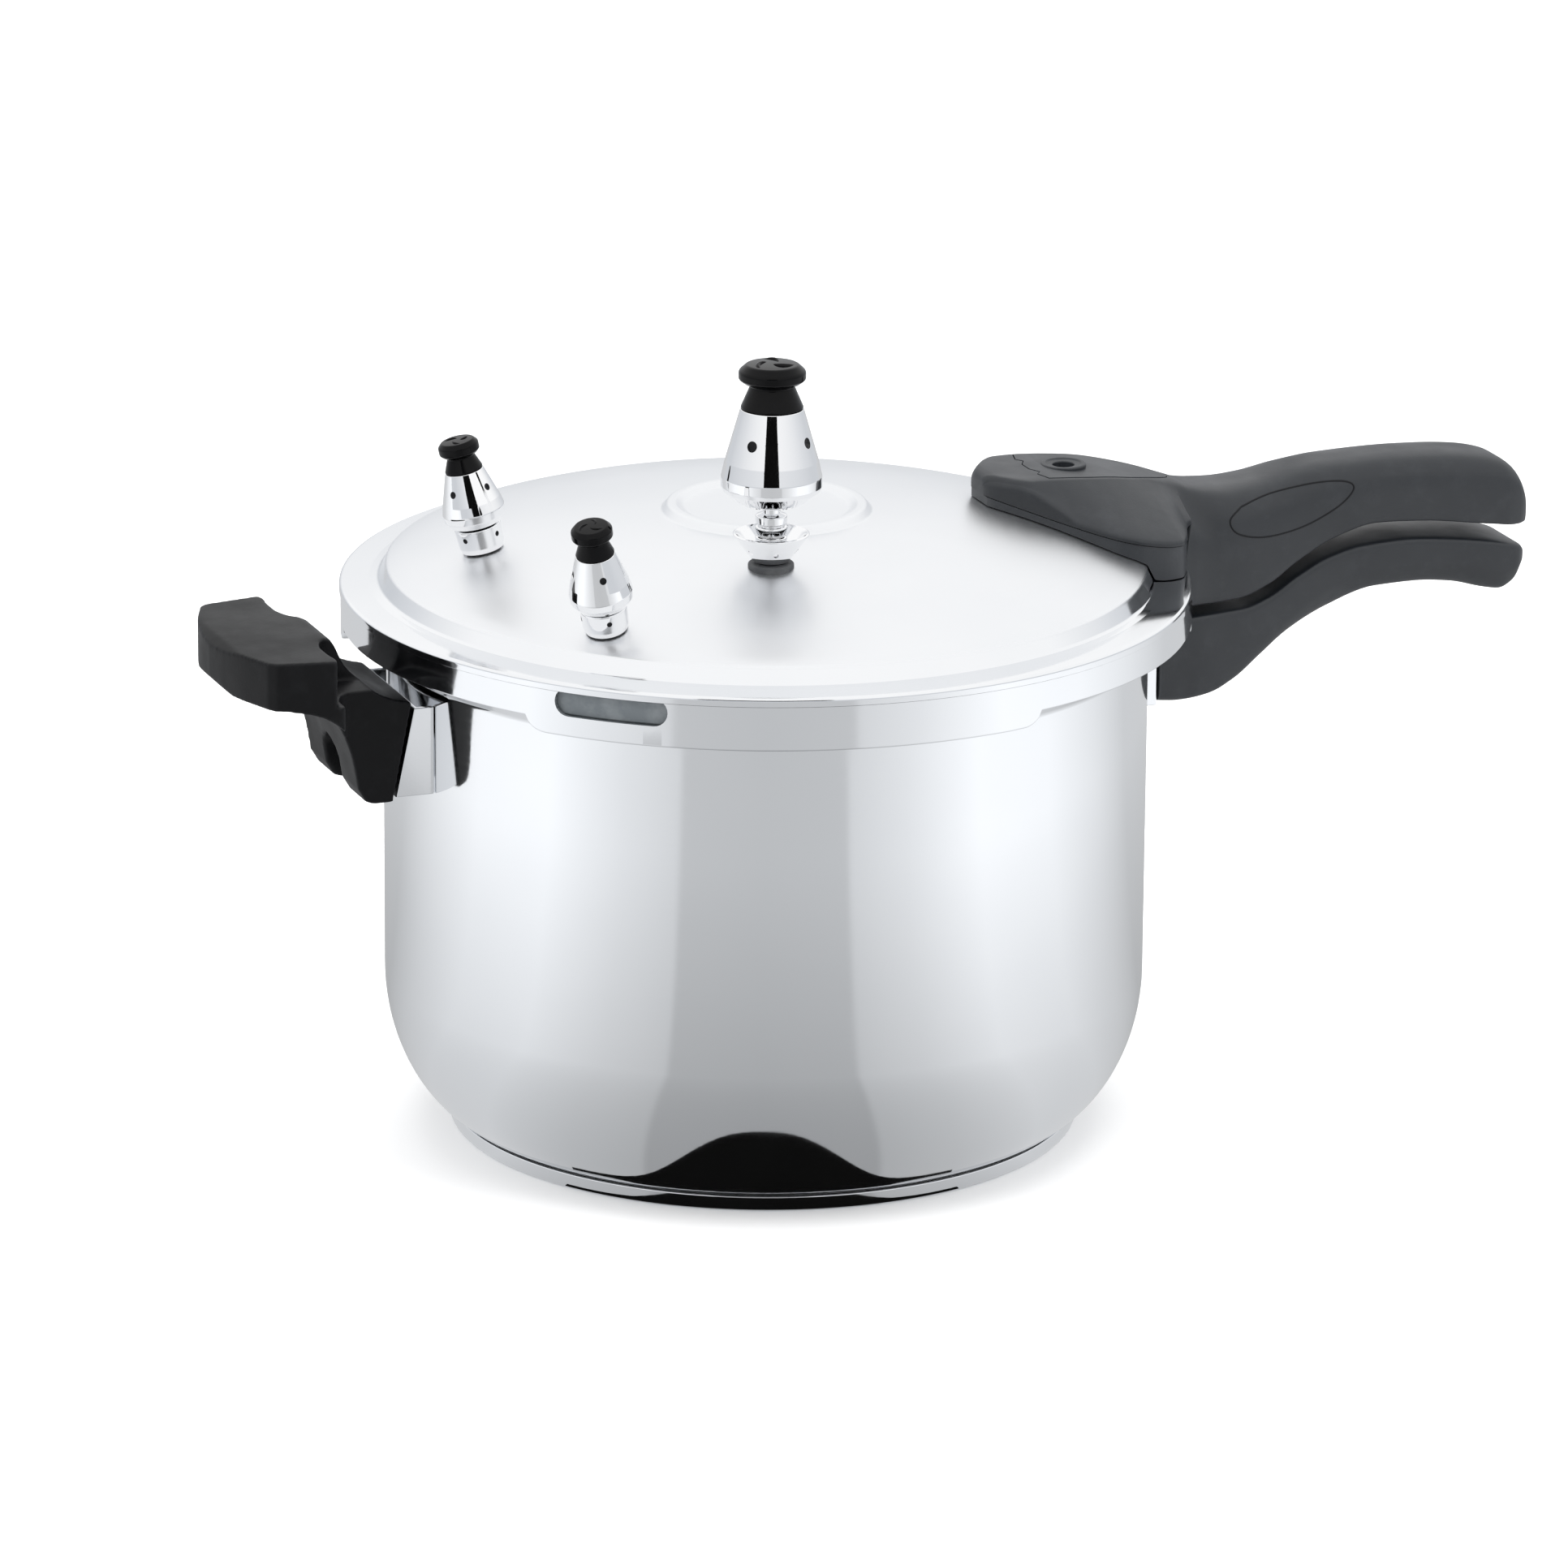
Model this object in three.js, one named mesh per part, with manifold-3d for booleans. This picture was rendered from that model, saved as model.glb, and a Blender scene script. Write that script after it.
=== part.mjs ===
// Stovetop pressure cooker, millimetres, +Z up.
// Origin at the centre of the face it stands on; the long handles point along +X.
import * as THREE from 'three';
import { mergeVertices } from 'three/addons/utils/BufferGeometryUtils.js';
import Module from 'manifold-3d';

const wasm = await Module();
wasm.setup();

// ---- driving dimensions -------------------------------------------------
const SEG = 40;                 // facets round every large ring
const SMALL = 14;               // facets round every small turned piece
const GAP = 0.3;                // air left between pieces that touch

const WALL_R = 121.5;           // outside of the pot wall
const SHEET = 1.5;              // stainless sheet
const FLOOR_Z = 5.2;            // underside of the drawn pot floor
const CORNER_A = 34;            // radial reach of the bottom corner
const CORNER_B = 49;            // height of the bottom corner
const CORNER_Z = 2;             // level where that corner would meet the floor
const BASE_R = 100.9;           // heat-disc cap
const RIM_Z = 165.9;            // top of the pot rim
const RIM_R = 126;              // rim lip
const TOOTH_R = 131.5;          // locking teeth of the pot
const TOOTH_T = 2.5;
const TOOTH_SPAN = 46;          // degrees
const LUG_AZ = [-108, 12, 132]; // centres of lugs and teeth when locked
const LUG_SPAN = 71;            // degrees
const LUG_IN_R = 127;
const LUG_Z = 160.8;            // bottom edge of the skirt at a lug
const LUG_T = 2;
const SKIRT_R = 135;
const SKIRT_Z = 165.5;          // bottom edge of the skirt between lugs
const RIM_LINE_R = 135.4;       // rounded edge of the flange
const FLANGE_Z = 178;
const SEAM_Z = FLANGE_Z - 3.1;  // where the skirt band meets that edge
const FLANGE_IN_R = 123.8;
const DOME_R = 120.8;
const DOME_EDGE_Z = 183.8;
const DOME_H = 17;
const DOME_POWER = 2.5;
const FLAT_Z = 201;             // pressed flat at the middle of the dome
const BEAD_Z = 202.7;           // raised ring around it
const WINDOW_AZ = -131.6;       // safety window in the skirt
const WINDOW_LEN = 37;
const WINDOW_Z = [167.3, 176.2];

const WEIGHT_AT = { r: 58.8, az: -109.6 };
const VALVE_A_AT = { r: 91.6, az: 172.5 };
const VALVE_B_AT = { r: 107.7, az: -138 };
const PIN_X = 101.5;
const PIN_HOLE_R = 5;
const HANDLE_SCREW_X = [84, 114];
const HANDLE_SCREW_HOLE_R = 2.3;

const BRACKET_T = 1.8;          // bracket sheet
const BRACKET_WALL_R = WALL_R + GAP;
const HELPER_SCREW_Z = 133.5;
const LOWER_SCREW_X = 134;
const TONGUE_Z = [140, 142];

// ---- looks ----------------------------------------------------------------
const LOOKS = {
  steel: { color: 0xd6dadd, roughness: 0.16, metalness: 1 },
  chrome: { color: 0xe9edef, roughness: 0.07, metalness: 1 },
  aluminium: { color: 0xb9bcbe, roughness: 0.45, metalness: 1 },
  black: { color: 0x1b1d1f, roughness: 0.42, metalness: 0 },
  gloss: { color: 0x0b0b0c, roughness: 0.12, metalness: 0 },
  rubber: { color: 0x6f7478, roughness: 0.7, metalness: 0 },
  dark: { color: 0x3b3e41, roughness: 0.7, metalness: 0 },
};

// ---- solids -----------------------------------------------------------------
const rad = THREE.MathUtils.degToRad;

function toManifold(vertProperties, triVerts) {
  return new wasm.Manifold(new wasm.Mesh({ numProp: 3, vertProperties, triVerts }));
}

// Closed geometry to a solid whose faces point outwards.
function solid(geometry) {
  geometry.deleteAttribute('normal');
  geometry.deleteAttribute('uv');
  const merged = mergeVertices(geometry, 1e-4);
  const verts = new Float32Array(merged.attributes.position.array);
  const source = merged.index.array;
  const tris = [];
  const flipped = [];
  for (let i = 0; i < source.length; i += 3) {
    const [a, b, c] = [source[i], source[i + 1], source[i + 2]];
    if (a === b || b === c || a === c) continue;
    tris.push(a, b, c);
    flipped.push(a, c, b);
  }
  const body = toManifold(verts, new Uint32Array(tris));
  return body.volume() > 0 ? body : toManifold(verts, new Uint32Array(flipped));
}

function shapeOf(points) {
  return new THREE.Shape(points.map(([x, y]) => new THREE.Vector2(x, y)));
}

// Turned about Z. Points are [radius, z]; a ring closes on its first point.
function turned(points, segments = SMALL) {
  const onAxis = points[0][0] === 0 && points.at(-1)[0] === 0;
  const path = onAxis ? points : [...points, points[0]];
  const profile = path.map(([r, z]) => new THREE.Vector2(r, z));
  const geometry = new THREE.LatheGeometry(profile, segments);
  geometry.rotateX(Math.PI / 2);
  return solid(geometry);
}

// Outline in X and Y, standing between two levels.
function standing(points, low, high) {
  const geometry = new THREE.ExtrudeGeometry(shapeOf(points), {
    depth: high - low, bevelEnabled: false,
  });
  geometry.translate(0, 0, low);
  return solid(geometry);
}

// Outline in X and Z, spread over Y between two limits.
function spread(points, low, high) {
  const geometry = new THREE.ExtrudeGeometry(shapeOf(points), {
    depth: high - low, bevelEnabled: false,
  });
  geometry.translate(0, 0, -high);
  geometry.rotateX(Math.PI / 2);
  return solid(geometry);
}

// Outline in Y and Z, run along X between two limits.
function along(points, low, high) {
  const geometry = new THREE.ExtrudeGeometry(shapeOf(points), {
    depth: high - low, bevelEnabled: false,
  });
  geometry.translate(0, 0, low);
  geometry.rotateX(Math.PI / 2);
  geometry.rotateZ(Math.PI / 2);
  return solid(geometry);
}

function pin(x, y, low, high, radius, segments = 12) {
  const geometry = new THREE.CylinderGeometry(radius, radius, high - low, segments);
  geometry.rotateX(Math.PI / 2);
  geometry.translate(x, y, (low + high) / 2);
  return solid(geometry);
}

// Round bar along X.
function crossPin(low, high, z, radius, segments = 12) {
  const geometry = new THREE.CylinderGeometry(radius, radius, high - low, segments);
  geometry.rotateZ(Math.PI / 2);
  geometry.translate((low + high) / 2, 0, z);
  return solid(geometry);
}

// Round bars pointing away from Z, one at each azimuth.
function spokes(azimuths, from, to, z, radius, segments = 10) {
  const bar = crossPin(from, to, z, radius, segments);
  return azimuths.map((az) => bar.rotate([0, 0, az])).reduce((a, b) => a.add(b));
}

// Slice of a ring: a wedge from the axis outwards.
function wedge(centre, span, low, high) {
  const reach = 200;
  const steps = 6;
  const points = [[0, 0]];
  for (let i = 0; i <= steps; i += 1) {
    const angle = rad(centre - span / 2 + (span * i) / steps);
    points.push([reach * Math.cos(angle), reach * Math.sin(angle)]);
  }
  return standing(points, low, high);
}

function smooth(points, count) {
  const curve = new THREE.SplineCurve(points.map(([x, y]) => new THREE.Vector2(x, y)));
  return curve.getPoints(count).map((p) => [p.x, p.y]);
}

// Both halves of an outline that is the same on either side of X.
function mirrored(half) {
  const other = half.filter(([, y]) => Math.abs(y) > 1e-6).map(([x, y]) => [x, -y]);
  return [...half, ...other.reverse()];
}

function mesh(name, body, look) {
  const { vertProperties, triVerts } = body.getMesh();
  const geometry = new THREE.BufferGeometry();
  geometry.setAttribute('position', new THREE.BufferAttribute(vertProperties, 3));
  geometry.setIndex(new THREE.BufferAttribute(triVerts, 1));
  geometry.computeVertexNormals();
  const node = new THREE.Mesh(geometry, new THREE.MeshStandardMaterial(LOOKS[look]));
  node.name = name;
  return node;
}

// ---- the lid's surface ---------------------------------------------------
function domeZ(r) {
  return DOME_EDGE_Z + DOME_H * (1 - (r / DOME_R) ** DOME_POWER);
}

function domeSlope(r) {
  const rise = DOME_H * (DOME_POWER / DOME_R);
  return Math.atan(rise * (r / DOME_R) ** (DOME_POWER - 1));
}

// Outer surface of the lid from the axis to the rounded rim, moved out by `off`.
function lidOuter(off) {
  const dome = [33.8, 50, 66, 82, 97, 110, 118].map((r) => [r, domeZ(r) + off]);
  return [
    [0, FLAT_Z + off], [26.5, FLAT_Z + off], [28.5, BEAD_Z + off], [31.5, BEAD_Z + off],
    ...dome,
    [DOME_R + off * 0.6, DOME_EDGE_Z - 0.9 + off * 0.6],
    [122.6 + off, FLANGE_Z + 2.2],
    [FLANGE_IN_R + off * 0.6, FLANGE_Z + off],
    [131.6, FLANGE_Z + off],
    [134.2 + off * 0.6, FLANGE_Z - 0.9 + off * 0.6],
    [RIM_LINE_R + off, FLANGE_Z - 2.6],
  ];
}

function lidInner() {
  const dome = [118, 110, 97, 82, 66, 50].map((r) => [r - 0.4, domeZ(r) - SHEET]);
  return [
    [133.5, FLANGE_Z - SHEET], [122.4, FLANGE_Z - SHEET],
    [121.2, FLANGE_Z + 1.6], [119.4, DOME_EDGE_Z - 2.2],
    ...dome,
    [33.8, domeZ(33.8) - SHEET], [28, FLAT_Z + 0.2 - SHEET], [0, FLAT_Z - SHEET],
  ];
}

function lidEnvelope() {
  return turned([
    ...lidOuter(GAP),
    [RIM_LINE_R + GAP, 150],
    [0, 150],
  ], SEG);
}

function at(place) {
  const x = place.r * Math.cos(rad(place.az));
  const y = place.r * Math.sin(rad(place.az));
  return [x, y, domeZ(place.r)];
}

// Turned piece stood on the dome, leaning along the dome's own normal.
function leaning(body, place) {
  const lean = THREE.MathUtils.radToDeg(domeSlope(place.r));
  return body.rotate([0, lean, 0]).rotate([0, 0, place.az]).translate(at(place));
}

// ---- pot -----------------------------------------------------------------
function cornerPoints(a, b, degrees) {
  return degrees.map((d) => [
    WALL_R - CORNER_A + a * Math.sin(rad(d)),
    CORNER_Z + CORNER_B - b * Math.cos(rad(d)),
  ]);
}

function potBody() {
  const outer = cornerPoints(CORNER_A, CORNER_B, [22, 34, 46, 58, 69, 80, 90]);
  const inner = cornerPoints(CORNER_A - SHEET, CORNER_B - SHEET, [25, 34, 46, 58, 69, 80, 90]);
  const shell = turned([
    [0, FLOOR_Z], [99.4, FLOOR_Z], ...outer,
    [WALL_R, 159.6], [123.6, RIM_Z - 4.3],
    [RIM_R - 0.6, RIM_Z - TOOTH_T], [RIM_R, RIM_Z - TOOTH_T + 0.5], [RIM_R, RIM_Z],
    [WALL_R - SHEET + 0.7, RIM_Z], [WALL_R - SHEET, RIM_Z - 0.8],
    ...inner.reverse(),
    [98.6, FLOOR_Z + SHEET], [0, FLOOR_Z + SHEET],
  ], SEG);
  const ring = turned([
    [RIM_R - 1.5, RIM_Z - TOOTH_T + 0.6], [TOOTH_R, RIM_Z - TOOTH_T],
    [TOOTH_R, RIM_Z], [RIM_R - 1.5, RIM_Z],
  ], SEG);
  const teeth = LUG_AZ.map((az) => ring.intersect(wedge(az, TOOTH_SPAN, 150, 180)));
  return teeth.reduce((body, tooth) => body.add(tooth), shell);
}

function baseCap() {
  return turned([
    [0, 0], [BASE_R - 1.6, 0], [BASE_R, 1.3], [BASE_R, FLOOR_Z - 0.1],
    [BASE_R - 0.8, FLOOR_Z - 0.1], [BASE_R - 0.8, 1.6], [BASE_R - 1.8, 0.8], [0, 0.8],
  ], SEG);
}

function baseCore() {
  return turned([
    [0, 1.1], [98.6, 1.1], [99.6, 2.1], [99.6, FLOOR_Z - GAP], [0, FLOOR_Z - GAP],
  ], SEG);
}

// Channel bracket standing on the wall; `front` is its outer face in X and Z.
function channel(front, halfWidth, low, high) {
  const [bottomX, topX] = front;
  const cheek = [[100, low], [bottomX, low], [topX, high], [100, high]];
  const hollow = [
    [90, low - 5], [bottomX - BRACKET_T + 0.6, low - 5],
    [topX - BRACKET_T - 0.6, high + 5], [90, high + 5],
  ];
  const inside = spread(hollow, -halfWidth + BRACKET_T, halfWidth - BRACKET_T);
  const wall = pin(0, 0, low - 10, high + 10, BRACKET_WALL_R, SEG);
  return spread(cheek, -halfWidth, halfWidth).subtract(inside).subtract(wall);
}

function lowerBracket() {
  const tongue = standing([[125.9, -9], [141, -9], [141, 9], [125.9, 9]], ...TONGUE_Z);
  const hole = pin(LOWER_SCREW_X, 0, TONGUE_Z[0] - 1, TONGUE_Z[1] + 1, 2.3);
  return channel([127.4, 127.4], 19, 128, 152).add(tongue).subtract(hole);
}

function helperBracket() {
  const hole = crossPin(120, 140, HELPER_SCREW_Z, 2.2);
  return channel([132, 126], 23.4, 125, 153.4).subtract(hole).rotate([0, 0, 180]);
}

function lowerHandle() {
  const top = smooth([
    [127.8, 154.6], [133, 155.8], [142, 156.4], [158, 156.7], [167.3, 159.1], [178.3, 165.2],
    [189.3, 170.1], [201.7, 172.9], [215.7, 173.6], [236.8, 171.8], [257.5, 167.8],
  ], 26);
  const end = [[260, 165.4], [260.2, 162], [256.4, 157], [252, 155]];
  const bottom = smooth([
    [247, 155.8], [234.4, 159.4], [221.7, 160.6], [207.7, 160], [189.7, 154.4], [175.9, 147.8],
    [164.9, 140.2], [155.4, 133.4], [146, 129.6], [136, 128.2], [127.8, 128.6],
  ], 22);
  const plan = mirrored(smooth([
    [120, 20.5], [140, 20.5], [155, 18.4], [175, 15.6], [200, 14], [230, 14.2], [248, 15.2],
    [257, 13.6], [260.6, 9], [261, 0],
  ], 18));
  const body = spread([...top, ...end, ...bottom], -40, 40).intersect(standing(plan, 100, 200));
  const slot = standing([[100, -9.4], [141.4, -9.4], [141.4, 9.4], [100, 9.4]],
    TONGUE_Z[0] - GAP, TONGUE_Z[1] + GAP);
  const bore = pin(LOWER_SCREW_X, 0, 110, 148, 2.4);
  const headroom = pin(LOWER_SCREW_X, 0, 110, 133.4, 4.6);
  return body.subtract(slot).subtract(bore).subtract(headroom);
}

function screw(headR, headT, shankR, length) {
  const slot = new THREE.BoxGeometry(headR * 1.5, 0.9, 1.6);
  const body = turned([
    [0, -headT], [headR - 0.6, -headT], [headR, -headT + 0.7], [headR, 0],
    [shankR, 0], [shankR, length - 0.6], [shankR - 0.6, length], [0, length],
  ], 12);
  slot.translate(0, 0, -headT);
  return body.subtract(solid(slot));
}

function helperHandle() {
  const outline = [
    [126.9, 155.6], ...smooth([[132, 156.8], [138, 159.6], [146, 166], [152, 173]], 6),
    [155, 175.4], [157, 176], [182, 176], [185.5, 173.6], [186, 164], [183, 161.2],
    ...smooth([[172, 160.6], [160, 157.6], [151.5, 150.5], [147, 141], [144.6, 129]], 9),
    [142, 124.6], [139, 123.7], [133.3, 123.7],
  ];
  const plan = mirrored([
    [120, 24], [148, 24], [151, 26.5], [153, 31], [153.4, 38.2], [155.4, 39.4],
    [174.4, 36], [176.8, 34], [181.6, 22], [184, 11], [184.8, 0],
  ]);
  const body = spread(outline, -50, 50).intersect(standing(plan, 100, 200));
  const slotOutline = smooth([[-7.4, 133], [-6.4, 137.4], [0, 141.4], [6.4, 137.4], [7.4, 133]], 10);
  const slot = along([[-7.4, 110], ...slotOutline, [7.4, 110]], 135, 170);
  const bore = crossPin(110, 160, HELPER_SCREW_Z, 2.3);
  return body.subtract(slot).subtract(bore).rotate([0, 0, 180]);
}

function helperScrew() {
  const body = screw(3.8, 2.8, 1.8, 9);
  return body.rotate([0, -90, 0]).translate([135.4, 0, HELPER_SCREW_Z]).rotate([0, 0, 180]);
}

// ---- lid -------------------------------------------------------------------
function windowCutter() {
  const half = WINDOW_LEN / 2;
  const radius = (WINDOW_Z[1] - WINDOW_Z[0]) / 2;
  const middle = (WINDOW_Z[0] + WINDOW_Z[1]) / 2;
  const points = [];
  for (let i = 0; i <= 8; i += 1) {
    const angle = rad(-90 + (180 * i) / 8);
    points.push([half - radius + radius * Math.cos(angle), middle + radius * Math.sin(angle)]);
  }
  const left = points.map(([y, z]) => [-y, z]).reverse();
  return along([...points, ...left], 126, 145).rotate([0, 0, WINDOW_AZ]);
}

function lidShell() {
  const shell = turned([
    ...lidOuter(0),
    [RIM_LINE_R, SEAM_Z], [SKIRT_R - SHEET, SEAM_Z],
    ...lidInner(),
  ], SEG);
  const [wx, wy] = at(WEIGHT_AT);
  const drilled = shell
    .subtract(pin(wx, wy, 180, 210, 4.3))
    .subtract(leaning(pin(0, 0, -8, 8, 3.3), VALVE_A_AT))
    .subtract(leaning(pin(0, 0, -8, 8, 3.3), VALVE_B_AT))
    .subtract(pin(PIN_X, 0, 175, 200, 4.3));
  return HANDLE_SCREW_X.reduce(
    (body, x) => body.subtract(pin(x, 0, 175, 205, HANDLE_SCREW_HOLE_R)), drilled);
}

// Band that hangs from the rolled edge of the lid and carries the locking lugs.
function lidSkirt() {
  const top = SEAM_Z - GAP;
  const band = turned([
    [SKIRT_R - SHEET, SKIRT_Z], [SKIRT_R, SKIRT_Z], [SKIRT_R, top], [SKIRT_R - SHEET, top],
  ], SEG);
  const ring = turned([
    [LUG_IN_R, LUG_Z], [SKIRT_R, LUG_Z], [SKIRT_R, SKIRT_Z + 0.3],
    [SKIRT_R - SHEET, SKIRT_Z + 0.3], [SKIRT_R - SHEET, LUG_Z + LUG_T],
    [LUG_IN_R, LUG_Z + LUG_T],
  ], SEG);
  const lugs = LUG_AZ.map((az) => ring.intersect(wedge(az, LUG_SPAN, 150, 180)));
  return lugs.reduce((body, lug) => body.add(lug), band).subtract(windowCutter());
}

function sealingRing() {
  return turned([
    [121, RIM_Z + GAP], [131.8, RIM_Z + GAP], [133, 167.6], [133, 175.5],
    [132.4, 176.1], [121, 176.1], [121, 174.4], [130.4, 173.9], [130.4, 168.6],
    [121, 168.1],
  ], SEG);
}

// Parting line between the two mouldings of the lid handle, in X and Z.
function seam(off) {
  return [[60, 201.4], [72, 199.2], [80, 197], [90, 194.3], [100, 191.9], [110, 190],
    [118, 188.9], [126, 188.4], [136.6, 188.2]].map(([x, z]) => [x, z + off]);
}

function handleWings(width) {
  return mirrored(smooth([
    [72, 0], [72.6, 6], [75.6, 11.5], [81, 18.6], [88, 27.5], [96, 37.4], [104, width - 3],
    [111, width - 0.4], [118, width], [123.6, width - 1.4], [127.6, width - 8],
    [131, 32], [134, 25], [138, 21.6], [144, 20.4],
  ], 28).concat([[144, 0]]));
}

function handleBase() {
  const sides = spread([...seam(0), [136.6, 150], [60, 150]], -60, 60);
  const plan = standing(handleWings(50), 150, 210);
  const rim = pin(0, 0, 150, 210, SKIRT_R - 0.4, SEG);
  const notch = spread([[60, 150], [119.5, 150], [119.5, FLANGE_Z + 3.4], [126, FLANGE_Z + 3.4],
    [126, 150], [140, 150], [140, 140], [60, 140]], -60, 60);
  const holes = HANDLE_SCREW_X.map((x) => pin(x, 0, 150, 210, HANDLE_SCREW_HOLE_R));
  const body = sides.intersect(plan).intersect(rim).subtract(lidEnvelope()).subtract(notch)
    .subtract(pin(PIN_X, 0, 150, 210, PIN_HOLE_R));
  return holes.reduce((a, b) => a.subtract(b), body);
}

// Top line of the lid handle; the cover sits on its straight front stretch.
const COVER_LINE = [[88.6, 203.6], [108, 202.2], [124, 199.6], [138.4, 196]];

function upperHandle() {
  const nose = [[72, 199.5], [72, 203], [73.4, 205.2], [76, 206]];
  const front = [[87.6, 206], [88, 203.4], ...COVER_LINE.slice(1)];
  const back = smooth([
    [142, 195.4], [149, 193.8], [156, 193.2], [166, 194], [179, 196.2], [193, 197.2],
    [214, 197.2], [230, 196.6], [242, 195.4], [250.7, 193.6], [256.4, 190.6],
  ], 22);
  const end = [[259.4, 187], [261, 182], [261.6, 177.6], [260, 175.4]];
  const under = smooth([
    [257, 175.1], [246.6, 176.4], [222.5, 179.6], [205.7, 180.4], [191.8, 177.2], [178.1, 170.6],
    [167.2, 164], [156.2, 160.6], [146, 160.3], [136.9, 160.4],
  ], 20);
  const line = [...nose, ...front, ...back, ...end, ...under, [136.9, 188.5],
    ...seam(GAP).slice(2, -1).reverse()];
  const neck = smooth([
    [138, 21.6], [150, 19.6], [165, 17.6], [190, 15.2], [215, 14.6], [240, 15], [252, 14.8],
    [259, 12.6], [261.8, 8], [262.4, 0],
  ], 18);
  const wings = handleWings(48).filter(([x, y]) => x < 137 && y >= 0);
  const plan = mirrored([...wings, ...neck]);
  const shoulders = along([[-60, 140], [60, 140], [60, 180.5], [46, 187.6], [17.5, 205.4],
    [15, 206.4], [-15, 206.4], [-17.5, 205.4], [-46, 187.6], [-60, 180.5]], 50, 280);
  const body = spread(line, -70, 70).intersect(standing(plan, 140, 230)).intersect(shoulders)
    .subtract(pin(PIN_X, 0, 150, 220, PIN_HOLE_R));
  const bores = HANDLE_SCREW_X.map((x, i) => pin(x, 0, 150, [201.6, 197.6][i], 2.2));
  return bores.reduce((a, b) => a.subtract(b), body);
}

function handleCover() {
  const low = COVER_LINE.map(([x, z]) => [x, z + GAP]);
  const high = COVER_LINE.map(([x, z]) => [x, z + 2.4]).reverse();
  const half = [[88.6, 0], [88.6, 3], [90.6, 7], [88.8, 9.4], [90.4, 15], [94, 15.4]];
  const plan = mirrored([...half, ...smooth([
    [94, 15.4], [106, 15.2], [118, 13], [128, 8.8], [135, 4], [137.4, 0],
  ], 10).slice(1)]);
  const plate = spread([...low, ...high], -30, 30).intersect(standing(plan, 150, 230));
  const boss = pin(PIN_X, 0, 203.6, 206, 7.3, 16);
  return plate.add(boss).subtract(pin(PIN_X, 0, 180, 230, 3.5));
}

function floatPin() {
  return turned([
    [0, 175.4], [3.9, 175.4], [3.9, 177.4], [2.5, 177.4], [2.5, 191.8], [3.7, 191.8],
    [3.7, 193], [2.5, 193], [2.5, 196], [1.7, 197.2], [0, 197.2],
  ], 12).translate([PIN_X, 0, 0]);
}

function floatSeal() {
  return turned([
    [2.9, 183.4], [6, 183.4], [6, 186], [3.9, 186], [3.9, 191.4], [2.9, 191.4],
  ], 12).translate([PIN_X, 0, 0]);
}

function handleScrew(index) {
  const x = HANDLE_SCREW_X[index];
  const headTop = domeZ(x) - SHEET - GAP - 3.75 * Math.tan(domeSlope(x)) - 0.1;
  return screw(3.75, 2.5, 1.9, 10).translate([x, 0, headTop]);
}

// ---- main vent and its weight (heights above the dome at the pipe) -------------
function stood(body) {
  return body.translate(at(WEIGHT_AT));
}

function ventGrommet() {
  const ring = turned([[4.3, -3], [7.7, -3], [7.7, 1.2], [7.2, 1.6], [4.3, 1.6]], 16);
  return stood(ring).subtract(lidEnvelope());
}

function ventSeat() {
  const cup = turned([
    [4.3, 1.9], [5.6, 1.9], [6.1, 2.6], [11.3, 9.7], [11.9, 10.4], [11.2, 10.9],
    [10.3, 10.2], [5.2, 3.3], [4.3, 3.3],
  ], 16);
  return stood(cup.subtract(spokes([20, 80, 140, 200, 260, 320], 3.4, 14, 5.2, 0.9, 6)));
}

function ventPipe() {
  return stood(turned([
    [1, -10], [3.9, -10], [3.9, 3.6], [5, 3.6], [5, 9.6], [4.3, 10.1], [5.1, 10.6], [5.1, 13],
    [4.4, 13.5], [5, 14], [5, 16.6], [2.7, 17.2], [2.7, 28.8], [2, 30], [1, 30],
  ], SMALL));
}

function hexNut(width, boreR, low, high) {
  const corner = width / Math.sqrt(3);
  const outline = [0, 60, 120, 180, 240, 300]
    .map((d) => [corner * Math.cos(rad(d)), corner * Math.sin(rad(d))]);
  return standing(outline, low, high).subtract(pin(0, 0, low - 1, high + 1, boreR));
}

function ventStrainer() {
  const cap = turned([
    [0, -14], [5.8, -14], [6.5, -13.3], [6.5, -7], [4.2, -7], [4.2, -8.2], [5.3, -8.2],
    [5.3, -12.8], [0, -12.8],
  ], SMALL);
  return stood(cap.subtract(spokes([0, 60, 120, 180, 240, 300], 4.6, 9, -10.6, 0.8, 6)));
}

function weightBell() {
  const bell = turned([
    [0, 30.5], [3.3, 30.5], [3.3, 20.5], [9.6, 20.5], [11, 21.2], [15.4, 25], [15.8, 26],
    [15.75, 29.2], [14.6, 34.3], [9.9, 50.8], [4, 50.8], [4, 46.3], [0, 46.3],
  ], 20);
  return stood(bell.subtract(spokes([-140, -50, 40, 130], 8, 18, 41.2, 1.7, 8)));
}

function weightKnob() {
  return stood(turned([
    [0, 46.6], [3.7, 46.6], [3.7, 51.1], [9.9, 51.1], [6.8, 58.3], [9.4, 59], [10.5, 60.6],
    [10.4, 62.8], [8.8, 64.6], [5, 65.5], [0, 65.6],
  ], 20));
}

// ---- small relief valves (heights along their own leaning axis) ----------------
function valveBody(place) {
  const collar = turned([
    [0, -8], [3, -8], [3, 1.5], [6.6, 1.5], [7.1, 2.2], [7.3, 8], [6.9, 8.5],
    [2.5, 8.5], [2.5, 18.4], [1.9, 19], [0, 19],
  ], SMALL);
  const holes = spokes([-140, -50, 40, 130], 5.6, 9, 5.6, 0.9, 6);
  return leaning(collar.subtract(holes), place);
}

function valveGasket(place) {
  return leaning(turned([[3.3, 0.45], [6.2, 0.45], [6.2, 1.2], [3.3, 1.2]], SMALL), place);
}

function valveNut(place) {
  return leaning(hexNut(10, 3.3, -6, -2.1), place);
}

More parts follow.
